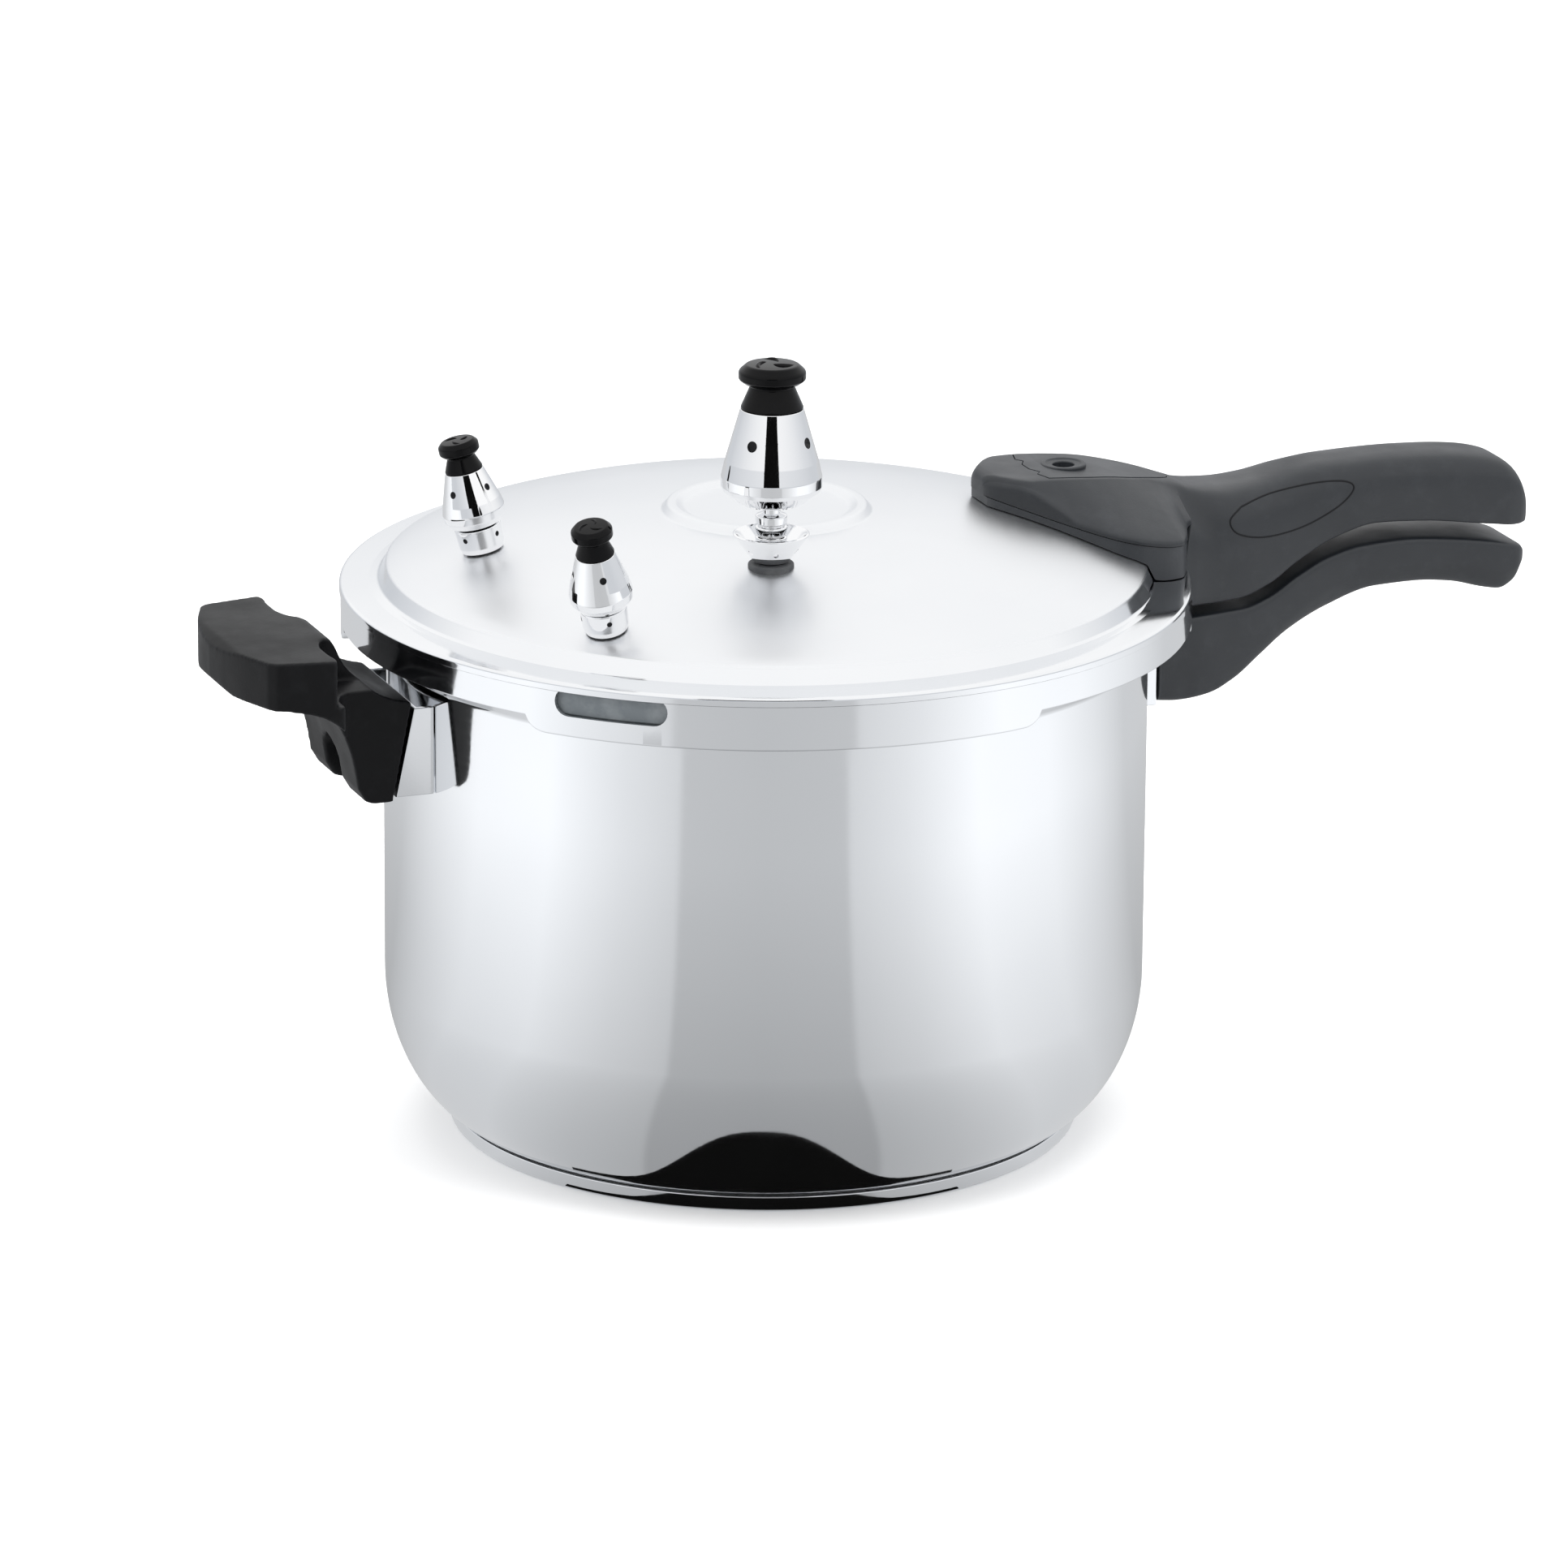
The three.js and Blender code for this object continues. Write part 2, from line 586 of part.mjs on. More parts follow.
function valveBell(place) {
  const bell = turned([
    [0, 20.4], [3.3, 20.4], [3.3, 8.9], [7.4, 8.9], [8.2, 9.3], [9.7, 11.6], [9.9, 13.8],
    [9.2, 17], [6.1, 27], [2.6, 27], [2.6, 24], [0, 24],
  ], SMALL);
  return leaning(bell.subtract(spokes([-140, -50, 40, 130], 5, 11, 21.4, 1.1, 6)), place);
}

function valveKnob(place) {
  return leaning(turned([
    [0, 24.3], [2.3, 24.3], [2.3, 27.3], [6.1, 27.3], [4.3, 32], [5.7, 32.5], [6.4, 33.8],
    [6.3, 35.4], [5.4, 36.7], [3, 37.4], [0, 37.5],
  ], SMALL), place);
}

// ---- assembly --------------------------------------------------------------------
const group = new THREE.Group();

const pot = new THREE.Group();
pot.add(
  mesh('pot_body', potBody(), 'steel'),
  mesh('base_core', baseCore(), 'aluminium'),
  mesh('base_cap', baseCap(), 'steel'),
  mesh('lower_bracket', lowerBracket(), 'steel'),
  mesh('lower_handle', lowerHandle(), 'black'),
  mesh('helper_bracket', helperBracket(), 'steel'),
  mesh('helper_handle', helperHandle(), 'black'),
  mesh('helper_screw', helperScrew(), 'chrome'),
);
const lowerScrew = mesh('lower_screw', screw(4.2, 2.8, 2, 14), 'chrome');
lowerScrew.position.set(LOWER_SCREW_X, 0, 133);
pot.add(lowerScrew);

const lid = new THREE.Group();
lid.add(
  mesh('lid_shell', lidShell(), 'steel'),
  mesh('lid_skirt', lidSkirt(), 'steel'),
  mesh('sealing_ring', sealingRing(), 'rubber'),
  mesh('handle_base', handleBase(), 'black'),
  mesh('upper_handle', upperHandle(), 'black'),
  mesh('handle_cover', handleCover(), 'black'),
  mesh('float_pin', floatPin(), 'dark'),
  mesh('float_seal', floatSeal(), 'rubber'),
  mesh('handle_screw_1', handleScrew(0), 'chrome'),
  mesh('handle_screw_2', handleScrew(1), 'chrome'),
  mesh('vent_grommet', ventGrommet(), 'dark'),
  mesh('vent_seat', ventSeat(), 'chrome'),
  mesh('vent_pipe', ventPipe(), 'chrome'),
  mesh('vent_nut', stood(hexNut(13, 4.2, -6.7, -2.7)), 'chrome'),
  mesh('vent_strainer', ventStrainer(), 'chrome'),
);

const weight = new THREE.Group();
weight.add(
  mesh('weight_bell', weightBell(), 'chrome'),
  mesh('weight_knob', weightKnob(), 'gloss'),
);
lid.add(weight);

for (const [letter, place] of [['a', VALVE_A_AT], ['b', VALVE_B_AT]]) {
  const valve = new THREE.Group();
  valve.add(
    mesh(`valve_${letter}_body`, valveBody(place), 'chrome'),
    mesh(`valve_${letter}_gasket`, valveGasket(place), 'dark'),
    mesh(`valve_${letter}_nut`, valveNut(place), 'chrome'),
    mesh(`valve_${letter}_bell`, valveBell(place), 'chrome'),
    mesh(`valve_${letter}_knob`, valveKnob(place), 'gloss'),
  );
  lid.add(valve);
}

group.add(pot, lid);

export default group;
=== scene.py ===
import math

import bmesh
import bpy
import numpy as np
from mathutils import Matrix, Vector
from mathutils.bvhtree import BVHTree


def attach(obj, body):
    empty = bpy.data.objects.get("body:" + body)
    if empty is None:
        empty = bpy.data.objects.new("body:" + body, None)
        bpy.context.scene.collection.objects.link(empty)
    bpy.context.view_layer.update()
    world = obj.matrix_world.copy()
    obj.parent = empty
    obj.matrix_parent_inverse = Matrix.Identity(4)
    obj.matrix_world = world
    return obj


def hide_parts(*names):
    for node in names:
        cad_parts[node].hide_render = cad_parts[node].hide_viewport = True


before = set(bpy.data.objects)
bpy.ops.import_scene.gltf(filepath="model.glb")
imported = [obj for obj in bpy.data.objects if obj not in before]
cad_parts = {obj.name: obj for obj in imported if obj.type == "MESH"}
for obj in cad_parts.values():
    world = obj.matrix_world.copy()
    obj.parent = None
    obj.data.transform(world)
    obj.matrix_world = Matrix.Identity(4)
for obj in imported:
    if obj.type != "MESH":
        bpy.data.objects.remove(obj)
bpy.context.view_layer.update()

# ---- sizes, in millimetres, the same as the CAD's ----
MM = 0.001
SEG = 144                # steps round a large ring
SMALL = 64               # steps round a small turned piece
WALL_R = 121.5
SHEET = 1.5
FLOOR_Z = 5.2
CORNER_A = 34
CORNER_B = 49
CORNER_Z = 2
BASE_R = 100.9
RIM_Z = 165.9
RIM_R = 126
TOOTH_R = 131.5
TOOTH_T = 2.5
TOOTH_SPAN = 46
LUG_AZ = (-108, 12, 132)
LUG_SPAN = 71
LUG_IN_R = 127
LUG_Z = 160.8
LUG_T = 2
SKIRT_R = 135
SKIRT_Z = 165.5
RIM_LINE_R = 135.4
FLANGE_Z = 178
SEAM_Z = FLANGE_Z - 3.1
FLANGE_IN_R = 123.8
DOME_R = 120.8
DOME_EDGE_Z = 183.8
DOME_H = 17
DOME_POWER = 2.5
FLAT_Z = 201
BEAD_Z = 202.7
WINDOW_AZ = -131.6
WINDOW_LEN = 37
WINDOW_Z = (167.3, 176.2)
WEIGHT_AT = (58.8, -109.6)       # radius, azimuth
VALVES_AT = {"a": (91.6, 172.5), "b": (107.7, -138)}
PIN_X = 101.5
HANDLE_SCREW_X = (84, 114)
LOWER_SCREW_X = 134
HELPER_SCREW_Z = 133.5
VENT_AZ = (-140, -50, 40, 130)   # round vents in the bells and collars
SHARP = math.radians(38)


# ---- meshes ----
def make(name, verts, faces):
    """Mesh object from millimetres, with its faces turned outwards."""
    mesh = bpy.data.meshes.new(name)
    mesh.from_pydata([tuple(c * MM for c in v) for v in verts], [], faces)
    bm = bmesh.new()
    bm.from_mesh(mesh)
    bmesh.ops.remove_doubles(bm, verts=bm.verts, dist=1e-6)
    bmesh.ops.recalc_face_normals(bm, faces=bm.faces)
    bm.to_mesh(mesh)
    bm.free()
    obj = bpy.data.objects.new(name, mesh)
    bpy.context.scene.collection.objects.link(obj)
    return obj


def bake(obj):
    """Applies the object's modifiers."""
    bpy.context.view_layer.update()
    graph = bpy.context.evaluated_depsgraph_get()
    mesh = bpy.data.meshes.new_from_object(obj.evaluated_get(graph))
    obj.modifiers.clear()
    old = obj.data
    obj.data = mesh
    bpy.data.meshes.remove(old)
    return obj


def combine(obj, others, operation):
    for other in others:
        step = obj.modifiers.new("combine", "BOOLEAN")
        step.operation = operation
        step.solver = "EXACT"
        step.object = other
    bake(obj)
    for other in others:
        bpy.data.objects.remove(other)
    return obj


def cut(obj, *others):
    return combine(obj, others, "DIFFERENCE")


def meet(obj, *others):
    return combine(obj, others, "INTERSECT")


def join(obj, *others):
    return combine(obj, others, "UNION")


def shade(obj, angle=SHARP):
    mesh = obj.data
    mesh.polygons.foreach_set("use_smooth", [True] * len(mesh.polygons))
    mesh.set_sharp_from_angle(angle=angle)
    return obj


def weighted(obj, angle=SHARP):
    """Keeps flats flat and lets the small rounds between them carry the turn."""
    shade(obj, angle)
    step = obj.modifiers.new("flats", "WEIGHTED_NORMAL")
    step.keep_sharp = True
    return obj


def moulded(obj, voxel=0.7, rounds=6):
    """Rebuilds a solid with soft edges, like a moulding."""
    remesh = obj.modifiers.new("remesh", "REMESH")
    remesh.mode = "VOXEL"
    remesh.voxel_size = voxel * MM
    soft = obj.modifiers.new("soft", "SMOOTH")
    soft.factor = 0.5
    soft.iterations = rounds
    return shade(bake(obj), math.radians(60))


# ---- turned pieces ----
def fillets(points, steps=5):
    """Profile corners (radius, z, rounding) turned to short arcs."""
    out = []
    for i, point in enumerate(points):
        p = Vector(point[:2])
        if len(point) < 3:
            out.append(tuple(p))
            continue
        a = Vector(points[i - 1][:2])
        b = Vector(points[(i + 1) % len(points)][:2])
        u, v = (a - p).normalized(), (b - p).normalized()
        half = max(u.angle(v) / 2, 0.05)
        reach = min(point[2] / math.tan(half), 0.48 * (a - p).length, 0.48 * (b - p).length)
        start, end = p + u * reach, p + v * reach
        for k in range(steps + 1):
            t = k / steps
            out.append(tuple(start * (1 - t) ** 2 + p * 2 * t * (1 - t) + end * t * t))
    return out


def profile_normals(profile):
    """Outward normals at both ends of every side of a closed profile."""
    pts = np.array(profile, float)
    nxt = np.roll(pts, -1, axis=0)
    d = nxt - pts
    length = np.maximum(np.linalg.norm(d, axis=1), 1e-9)
    area = np.sum(pts[:, 0] * nxt[:, 1] - nxt[:, 0] * pts[:, 1])
    flat = np.stack([d[:, 1], -d[:, 0]], 1) / length[:, None] * np.sign(area)
    start, end = flat.copy(), flat.copy()
    for i in range(len(pts)):
        if flat[i - 1] @ flat[i] > math.cos(SHARP) and pts[i, 0] > 1e-6:
            mean = flat[i - 1] * length[i - 1] + flat[i] * length[i]
            mean /= np.linalg.norm(mean)
            end[i - 1], start[i] = mean, mean
    return pts, d, length, flat, start, end


def true_normals(obj, profile):
    """Gives every face that lies on the turned surface that surface's own normals."""
    shade(obj)
    mesh = obj.data
    pts, d, length, flat, start, end = profile_normals(profile)
    co = np.empty(len(mesh.vertices) * 3)
    mesh.vertices.foreach_get("co", co)
    co = co.reshape(-1, 3) / MM
    loop_vert = np.empty(len(mesh.loops), int)
    mesh.loops.foreach_get("vertex_index", loop_vert)
    normals = np.array([c.vector for c in mesh.corner_normals], float).reshape(-1, 3)
    radius = np.hypot(co[:, 0], co[:, 1])
    safe = np.maximum(radius, 1e-9)
    out = np.stack([co[:, 0] / safe, co[:, 1] / safe], 1)
    for face in mesh.polygons:
        loops = np.array(face.loop_indices)
        verts = loop_vert[loops]
        rz = np.stack([radius[verts].mean(), co[verts, 2].mean()])
        middle = out[verts].sum(0)
        if np.linalg.norm(middle) < 1e-6:
            continue
        middle /= np.linalg.norm(middle)
        face_n = np.array(face.normal)
        n2 = np.array([face_n[:2] @ middle, face_n[2]])
        t = np.clip(((rz - pts) * d).sum(1) / length ** 2, 0, 1)
        away = np.linalg.norm(pts + d * t[:, None] - rz, axis=1)
        away[flat @ n2 < 0.985] = 9
        side = int(away.argmin())
        if away[side] > 0.12:
            continue
        for loop, vert in zip(loops, verts):
            at = np.array([radius[vert], co[vert, 2]])
            s = np.clip((at - pts[side]) @ d[side] / length[side] ** 2, 0, 1)
            n = start[side] * (1 - s) + end[side] * s
            n /= max(np.linalg.norm(n), 1e-9)
            way = out[vert] if radius[vert] > 1e-6 else middle
            if radius[vert] < 1e-6:
                n = np.array([0.0, np.sign(n[1])])
            normals[loop] = (n[0] * way[0], n[0] * way[1], n[1])
    mesh.normals_split_custom_set(normals.tolist())
    return obj


def turned(name, profile, seg=SMALL, shape=None, angles=None):
    """Turns a profile round Z. shape(point, index, azimuth) may move a point as it goes round."""
    angles = angles or [2 * math.pi * k / seg for k in range(seg)]
    count = len(angles)
    verts, rings = [], []
    for i, (r, z) in enumerate(profile):
        if r < 1e-6:
            rings.append([len(verts)] * count)
            verts.append((0, 0, z))
            continue
        rings.append(list(range(len(verts), len(verts) + count)))
        for a in angles:
            rr, zz = shape((r, z), i, math.degrees(a)) if shape else (r, z)
            verts.append((rr * math.cos(a), rr * math.sin(a), zz))
    faces = []
    for low, high in zip(rings, rings[1:] + rings[:1]):
        for k in range(count):
            j = (k + 1) % count
            quad = dict.fromkeys([low[k], low[j], high[j], high[k]])
            if len(quad) > 2:
                faces.append(tuple(quad))
    return make(name, verts, faces)


def pin(low, high, radius, x=0, y=0, seg=32):
    outline = [(0, low), (radius, low), (radius, high), (0, high)]
    obj = turned("tool", outline, seg)
    obj.data.transform(Matrix.Translation((x * MM, y * MM, 0)))
    return obj


def spoke(azimuth, start, end, z, radius, seg=20):
    """Round bar pointing away from Z."""
    obj = pin(start, end, radius, seg=seg)
    turn = Matrix.Rotation(math.radians(azimuth), 4, "Z") @ Matrix.Rotation(math.pi / 2, 4, "Y")
    obj.data.transform(Matrix.Translation((0, 0, z * MM)) @ turn)
    return obj


def dome_z(r):
    return DOME_EDGE_Z + DOME_H * (1 - (r / DOME_R) ** DOME_POWER)


def dome_slope(r):
    return math.atan(DOME_H * DOME_POWER / DOME_R * (r / DOME_R) ** (DOME_POWER - 1))


def shifted(x=0, z=0):
    return Matrix.Translation((x * MM, 0, z * MM))


def stood(place, lean):
    """Placement of something that stands on the dome."""
    r, az = place[0], math.radians(place[1])
    move = Matrix.Translation(Vector((r * math.cos(az), r * math.sin(az), dome_z(r))) * MM)
    if not lean:
        return move
    return move @ Matrix.Rotation(az, 4, "Z") @ Matrix.Rotation(dome_slope(r), 4, "Y")


# ---- prisms and lofts ----
def prism(points, low, high, plane="XY"):
    """Outline pushed between two limits along the axis that its plane leaves out."""
    order = {"XY": (0, 1, 2), "XZ": (0, 2, 1), "YZ": (1, 2, 0)}[plane]
    verts = []
    for limit in (low, high):
        for a, b in points:
            v = [0, 0, 0]
            v[order[0]], v[order[1]], v[order[2]] = a, b, limit
            verts.append(v)
    n = len(points)
    faces = [tuple(range(n)), tuple(range(n, 2 * n))]
    faces += [(k, (k + 1) % n, n + (k + 1) % n, n + k) for k in range(n)]
    return make("tool", verts, faces)


def both(half):
    """Both halves of an outline that is the same on either side of X."""
    return half + [(x, -y) for x, y in reversed(half) if abs(y) > 1e-6]


def track(keys):
    """Smooth curve through keys of (x, value)."""
    xs = np.array([k[0] for k in keys], float)
    ys = np.array([k[1] for k in keys], float)
    step = np.diff(ys) / np.diff(xs)
    slope = np.empty(len(xs))
    slope[0], slope[-1] = step[0], step[-1]
    for i in range(1, len(xs) - 1):
        a, b = step[i - 1], step[i]
        slope[i] = 0 if a * b <= 0 else 2 * a * b / (a + b)

    def at(x):
        x = min(max(x, xs[0]), xs[-1])
        i = min(int(np.searchsorted(xs, x, "right")) - 1, len(xs) - 2)
        h = xs[i + 1] - xs[i]
        t = (x - xs[i]) / h
        return float(
            ys[i] * (2 * t ** 3 - 3 * t ** 2 + 1) + slope[i] * h * (t ** 3 - 2 * t ** 2 + t)
            + ys[i + 1] * (3 * t ** 2 - 2 * t ** 3) + slope[i + 1] * h * (t ** 3 - t ** 2)
        )

    return at


def smooth_line(points, count):
    """Smooth curve through points of a plane."""
    pts = [points[0], *points, points[-1]]
    out = []
    spans = len(points) - 1
    for k in range(count + 1):
        s = min(k / count * spans, spans - 1e-9)
        i, t = int(s), s - int(s)
        a, b, c, d = (np.array(pts[i + j], float) for j in range(4))
        out.append(tuple(0.5 * (2 * b + (c - a) * t + (2 * a - 5 * b + 4 * c - d) * t * t
                                + (3 * b - a - 3 * c + d) * t ** 3)))
    return out


def ring_of(half, per=5):
    """Soft closed section from the (y, z) corners of its one half."""
    corners = half + [(-y, z) for y, z in reversed(half[1:-1])]
    pts = [np.array(c, float) for c in corners]
    out = []
    for i, p in enumerate(pts):
        a, b = (pts[i - 1] + p) / 2, (p + pts[(i + 1) % len(pts)]) / 2
        for k in range(per):
            t = k / per
            out.append(tuple(a * (1 - t) ** 2 + p * 2 * t * (1 - t) + b * t * t))
    return out


def loft(name, stations, section):
    """Skin over the sections at each x, closed at both ends."""
    verts, faces = [], []
    for x in stations:
        ring = ring_of(section(x))
        verts += [(x, y, z) for y, z in ring]
    n = len(verts) // len(stations)
    for s in range(len(stations) - 1):
        for k in range(n):
            j = (k + 1) % n
            faces.append((s * n + k, s * n + j, (s + 1) * n + j, (s + 1) * n + k))
    last = (len(stations) - 1) * n
    faces += [tuple(range(n)), tuple(range(last, last + n))]
    return make(name, verts, faces)


def steps_between(*spans):
    """Stations from (start, end, count) spans."""
    out = []
    for start, end, count in spans:
        out += [start + (end - start) * k / count for k in range(count)]
    return out + [spans[-1][1]]


def tube(name, path, radius, sides=8):
    """Round bead along a closed path of points."""
    pts = [Vector(p) for p in path]
    verts, faces = [], []
    for i, p in enumerate(pts):
        way = (pts[(i + 1) % len(pts)] - pts[i - 1]).normalized()
        side = way.cross(Vector((0, 1, 0))).normalized()
        up = side.cross(way)
        for k in range(sides):
            a = 2 * math.pi * k / sides
            verts.append(p + side * (radius * math.cos(a)) + up * (radius * math.sin(a)))
    for i in range(len(pts)):
        for k in range(sides):
            a, b = i * sides, (i + 1) % len(pts) * sides
            j = (k + 1) % sides
            faces.append((a + k, a + j, b + j, b + k))
    return shade(make(name, verts, faces))


# ---- materials ----
def material(name, color, roughness, metallic=0.0, **sockets):
    mat = bpy.data.materials.new(name)
    mat.use_nodes = True
    shader = mat.node_tree.nodes["Principled BSDF"]
    shader.inputs["Base Color"].default_value = (*color, 1)
    shader.inputs["Roughness"].default_value = roughness
    shader.inputs["Metallic"].default_value = metallic
    for key, value in sockets.items():
        shader.inputs[key.replace("_", " ")].default_value = value
    return mat


class Graph:
    """Short names for the nodes that the materials are made of."""

    def __init__(self, mat):
        self.nodes = mat.node_tree.nodes
        self.links = mat.node_tree.links
        self.shader = self.nodes.get("Principled BSDF")
        self.place = self.nodes.new("ShaderNodeTexCoord").outputs["Object"]

    def link(self, a, b):
        self.links.new(a, b)

    def split(self, source=None):
        node = self.nodes.new("ShaderNodeSeparateXYZ")
        self.link(source or self.place, node.inputs["Vector"])
        return node.outputs

    def noise(self, scale, detail=4.0, source=None, roughness=0.55):
        node = self.nodes.new("ShaderNodeTexNoise")
        node.inputs["Scale"].default_value = scale
        node.inputs["Detail"].default_value = detail
        node.inputs["Roughness"].default_value = roughness
        self.link(source or self.place, node.inputs["Vector"])
        return node.outputs["Fac"]

    def cells(self, scale):
        node = self.nodes.new("ShaderNodeTexVoronoi")
        node.inputs["Scale"].default_value = scale
        self.link(self.place, node.inputs["Vector"])
        return node.outputs["Distance"]

    def ramp(self, value, low, high, to_low, to_high):
        node = self.nodes.new("ShaderNodeMapRange")
        node.inputs["From Min"].default_value = low
        node.inputs["From Max"].default_value = high
        node.inputs["To Min"].default_value = to_low
        node.inputs["To Max"].default_value = to_high
        self.link(value, node.inputs["Value"])
        return node.outputs["Result"]

    def math(self, operation, a, b):
        node = self.nodes.new("ShaderNodeMath")
        node.operation = operation
        for socket, value in zip(node.inputs, (a, b)):
            if isinstance(value, (int, float)):
                socket.default_value = value
            else:
                self.link(value, socket)
        return node.outputs["Value"]

    def mix(self, factor, a, b):
        node = self.nodes.new("ShaderNodeMix")
        node.data_type = "RGBA"
        self.link(factor, node.inputs["Factor"])
        node.inputs["A"].default_value = (*a, 1)
        node.inputs["B"].default_value = (*b, 1)
        return node.outputs["Result"]

    def turning(self):
        """Coordinates that run round the vertical axis: radius, a little turn, height."""
        at = self.split()
        x2 = self.math("MULTIPLY", at["X"], at["X"])
        y2 = self.math("MULTIPLY", at["Y"], at["Y"])
        radius = self.math("SQRT", self.math("ADD", x2, y2), 0.0)
        turn = self.math("ARCTAN2", at["Y"], at["X"])
        joined = self.nodes.new("ShaderNodeCombineXYZ")
        self.link(radius, joined.inputs["X"])
        self.link(self.math("MULTIPLY", turn, 0.002), joined.inputs["Y"])
        self.link(at["Z"], joined.inputs["Z"])
        return joined.outputs["Vector"]

    def bump(self, height, strength, distance, after=None):
        node = self.nodes.new("ShaderNodeBump")
        node.inputs["Strength"].default_value = strength
        node.inputs["Distance"].default_value = distance
        self.link(height, node.inputs["Height"])
        if after:
            self.link(after, node.inputs["Normal"])
        return node.outputs["Normal"]

    def normal(self, socket):
        self.link(socket, self.shader.inputs["Normal"])


def steel_material(name, satin):
    """Polished stainless with faint spin lines and smears; satin from one level upwards."""
    mat = material(name, (0.86, 0.872, 0.888), 0.08, 1.0)
    g = Graph(mat)
    smears = g.noise(26, 5)
    lines = g.noise(1500, 2, g.turning())
    patchy = g.ramp(smears, 0.35, 0.7, 0.06, 0.11)
    fine = g.ramp(lines, 0.3, 0.7, -0.012, 0.02)
    rough = g.math("ADD", patchy, fine)
    if satin:
        rough = g.math("ADD", rough, g.ramp(g.split()["Z"], *satin))
    g.link(rough, g.shader.inputs["Roughness"])
    tone = g.ramp(g.noise(9, 3), 0.35, 0.65, 0, 1)
    g.link(g.mix(tone, (0.845, 0.858, 0.876), (0.875, 0.885, 0.9)),
           g.shader.inputs["Base Color"])
    ripple = g.bump(g.noise(14, 1.5), 0.12, 0.0012)
    g.normal(ripple if satin else g.bump(lines, 0.1, 0.00002, ripple))
    return mat


def chrome_material():
    """Bright plating on the valves, with a slight haze of tiny pits."""
    mat = material("bright_chrome", (0.9, 0.905, 0.915), 0.05, 1.0)
    g = Graph(mat)
    haze = g.noise(160, 4)
    g.link(g.ramp(haze, 0.4, 0.75, 0.025, 0.07), g.shader.inputs["Roughness"])
    pits = g.ramp(g.cells(900), 0.0, 0.25, 0.0, 1.0)
    g.normal(g.bump(pits, 0.06, 0.00003))
    return mat


def aluminium_material():
    mat = material("cast_aluminium", (0.66, 0.67, 0.68), 0.42, 1.0)
    g = Graph(mat)
    g.link(g.ramp(g.noise(300, 5), 0.3, 0.7, 0.34, 0.52), g.shader.inputs["Roughness"])
    g.normal(g.bump(g.noise(1800, 3), 0.2, 0.00005))
    return mat


def moulding_material(name, dark, light, low, high, grain, specular, grain_depth=0.25):
    """Black moulding: fine sand-cast grain, cloudy gloss and paler worn edges."""
    mat = material(name, dark, (low + high) / 2, 0.0, Specular_IOR_Level=specular)
    g = Graph(mat)
    cloud = g.noise(38, 5)
    g.link(g.ramp(cloud, 0.35, 0.68, low, high), g.shader.inputs["Roughness"])
    edge = g.nodes.new("ShaderNodeNewGeometry").outputs["Pointiness"]
    worn = g.ramp(edge, 0.515, 0.56, 0.0, 0.55)
    dust = g.ramp(g.noise(110, 6, roughness=0.7), 0.52, 0.75, 0.0, 0.35)
    g.link(g.mix(g.math("ADD", worn, dust), dark, light), g.shader.inputs["Base Color"])
    pebbles = g.bump(g.noise(grain, 3), grain_depth, 0.00012)
    g.normal(g.bump(g.noise(60, 2), grain_depth * 0.6, 0.0006, pebbles))
    return mat


def rubber_material(name, color, pale):
    mat = material(name, color, 0.62, 0.0, Specular_IOR_Level=0.35)
    g = Graph(mat)
    g.link(g.mix(g.ramp(g.noise(140, 5), 0.4, 0.7, 0, 1), color, pale),
           g.shader.inputs["Base Color"])
    g.link(g.ramp(g.noise(220, 4), 0.3, 0.7, 0.5, 0.72), g.shader.inputs["Roughness"])
    g.normal(g.bump(g.noise(1200, 3), 0.25, 0.00008))
    return mat


# satin's four numbers: two heights in metres, and the roughness added below and above them
LOOKS = {
    "steel": steel_material("polished_stainless", None),
    "satin": steel_material("satin_lid", (0.1822, 0.184, 0.0, 0.27)),
    "chrome": chrome_material(),
    "aluminium": aluminium_material(),
    "black": moulding_material(
        "black_phenolic", (0.0095, 0.0115, 0.0145), (0.026, 0.029, 0.034), 0.36, 0.5, 1500, 0.55),
    "dull": moulding_material(
        "dull_phenolic", (0.0018, 0.0019, 0.0024), (0.009, 0.0095, 0.011), 0.4, 0.54, 1300, 0.2),
    "gloss": moulding_material(
        "glossy_knob", (0.002, 0.002, 0.0023), (0.005, 0.0048, 0.0048), 0.07, 0.15, 500, 0.13,
        0.06),
    "rubber": rubber_material("grey_silicone", (0.11, 0.125, 0.135), (0.17, 0.185, 0.195)),
    "dark": rubber_material("dark_rubber", (0.05, 0.052, 0.056), (0.085, 0.088, 0.09)),
}


def fit(piece, body, look, *nodes):
    """Hands a finished piece to its body, its material and the nodes that it stands for."""
    piece.data.materials.clear()
    piece.data.materials.append(LOOKS[look])
    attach(piece, body)
    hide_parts(*nodes)
    return piece


def fitting(name, body, look, node, profile, at=None, tools=(), seg=SMALL):
    """Turned piece, drilled with the tools and moved to its place."""
    piece = turned(name, profile, seg)
    if tools:
        cut(piece, *tools)
    true_normals(piece, profile)
    if at:
        piece.data.transform(at)
    return fit(piece, body, look, node)


def vent_shade_plugs(name, body, inner, outer, z, radius, at):
    """Black plugs just inside the round vents of a fitting: painted shade where the vents' hollow
    insides would be dark.
    """
    for i, az in enumerate(VENT_AZ, 1):
        plug = shade(spoke(az, inner, outer, z, radius))
        plug.name = f"{name}_{i}"
        plug.data.transform(at)
        fit(plug, body, "dull")


# ---- pot ----
def corner_points(a, b, degrees):
    return [
        (WALL_R - CORNER_A + a * math.sin(math.radians(d)),
         CORNER_Z + CORNER_B - b * math.cos(math.radians(d)))
        for d in degrees
    ]


def nearest_turn(azimuth, centres):
    """Degrees from the nearest of the given azimuths."""
    return min(abs((azimuth - c + 180) % 360 - 180) for c in centres)


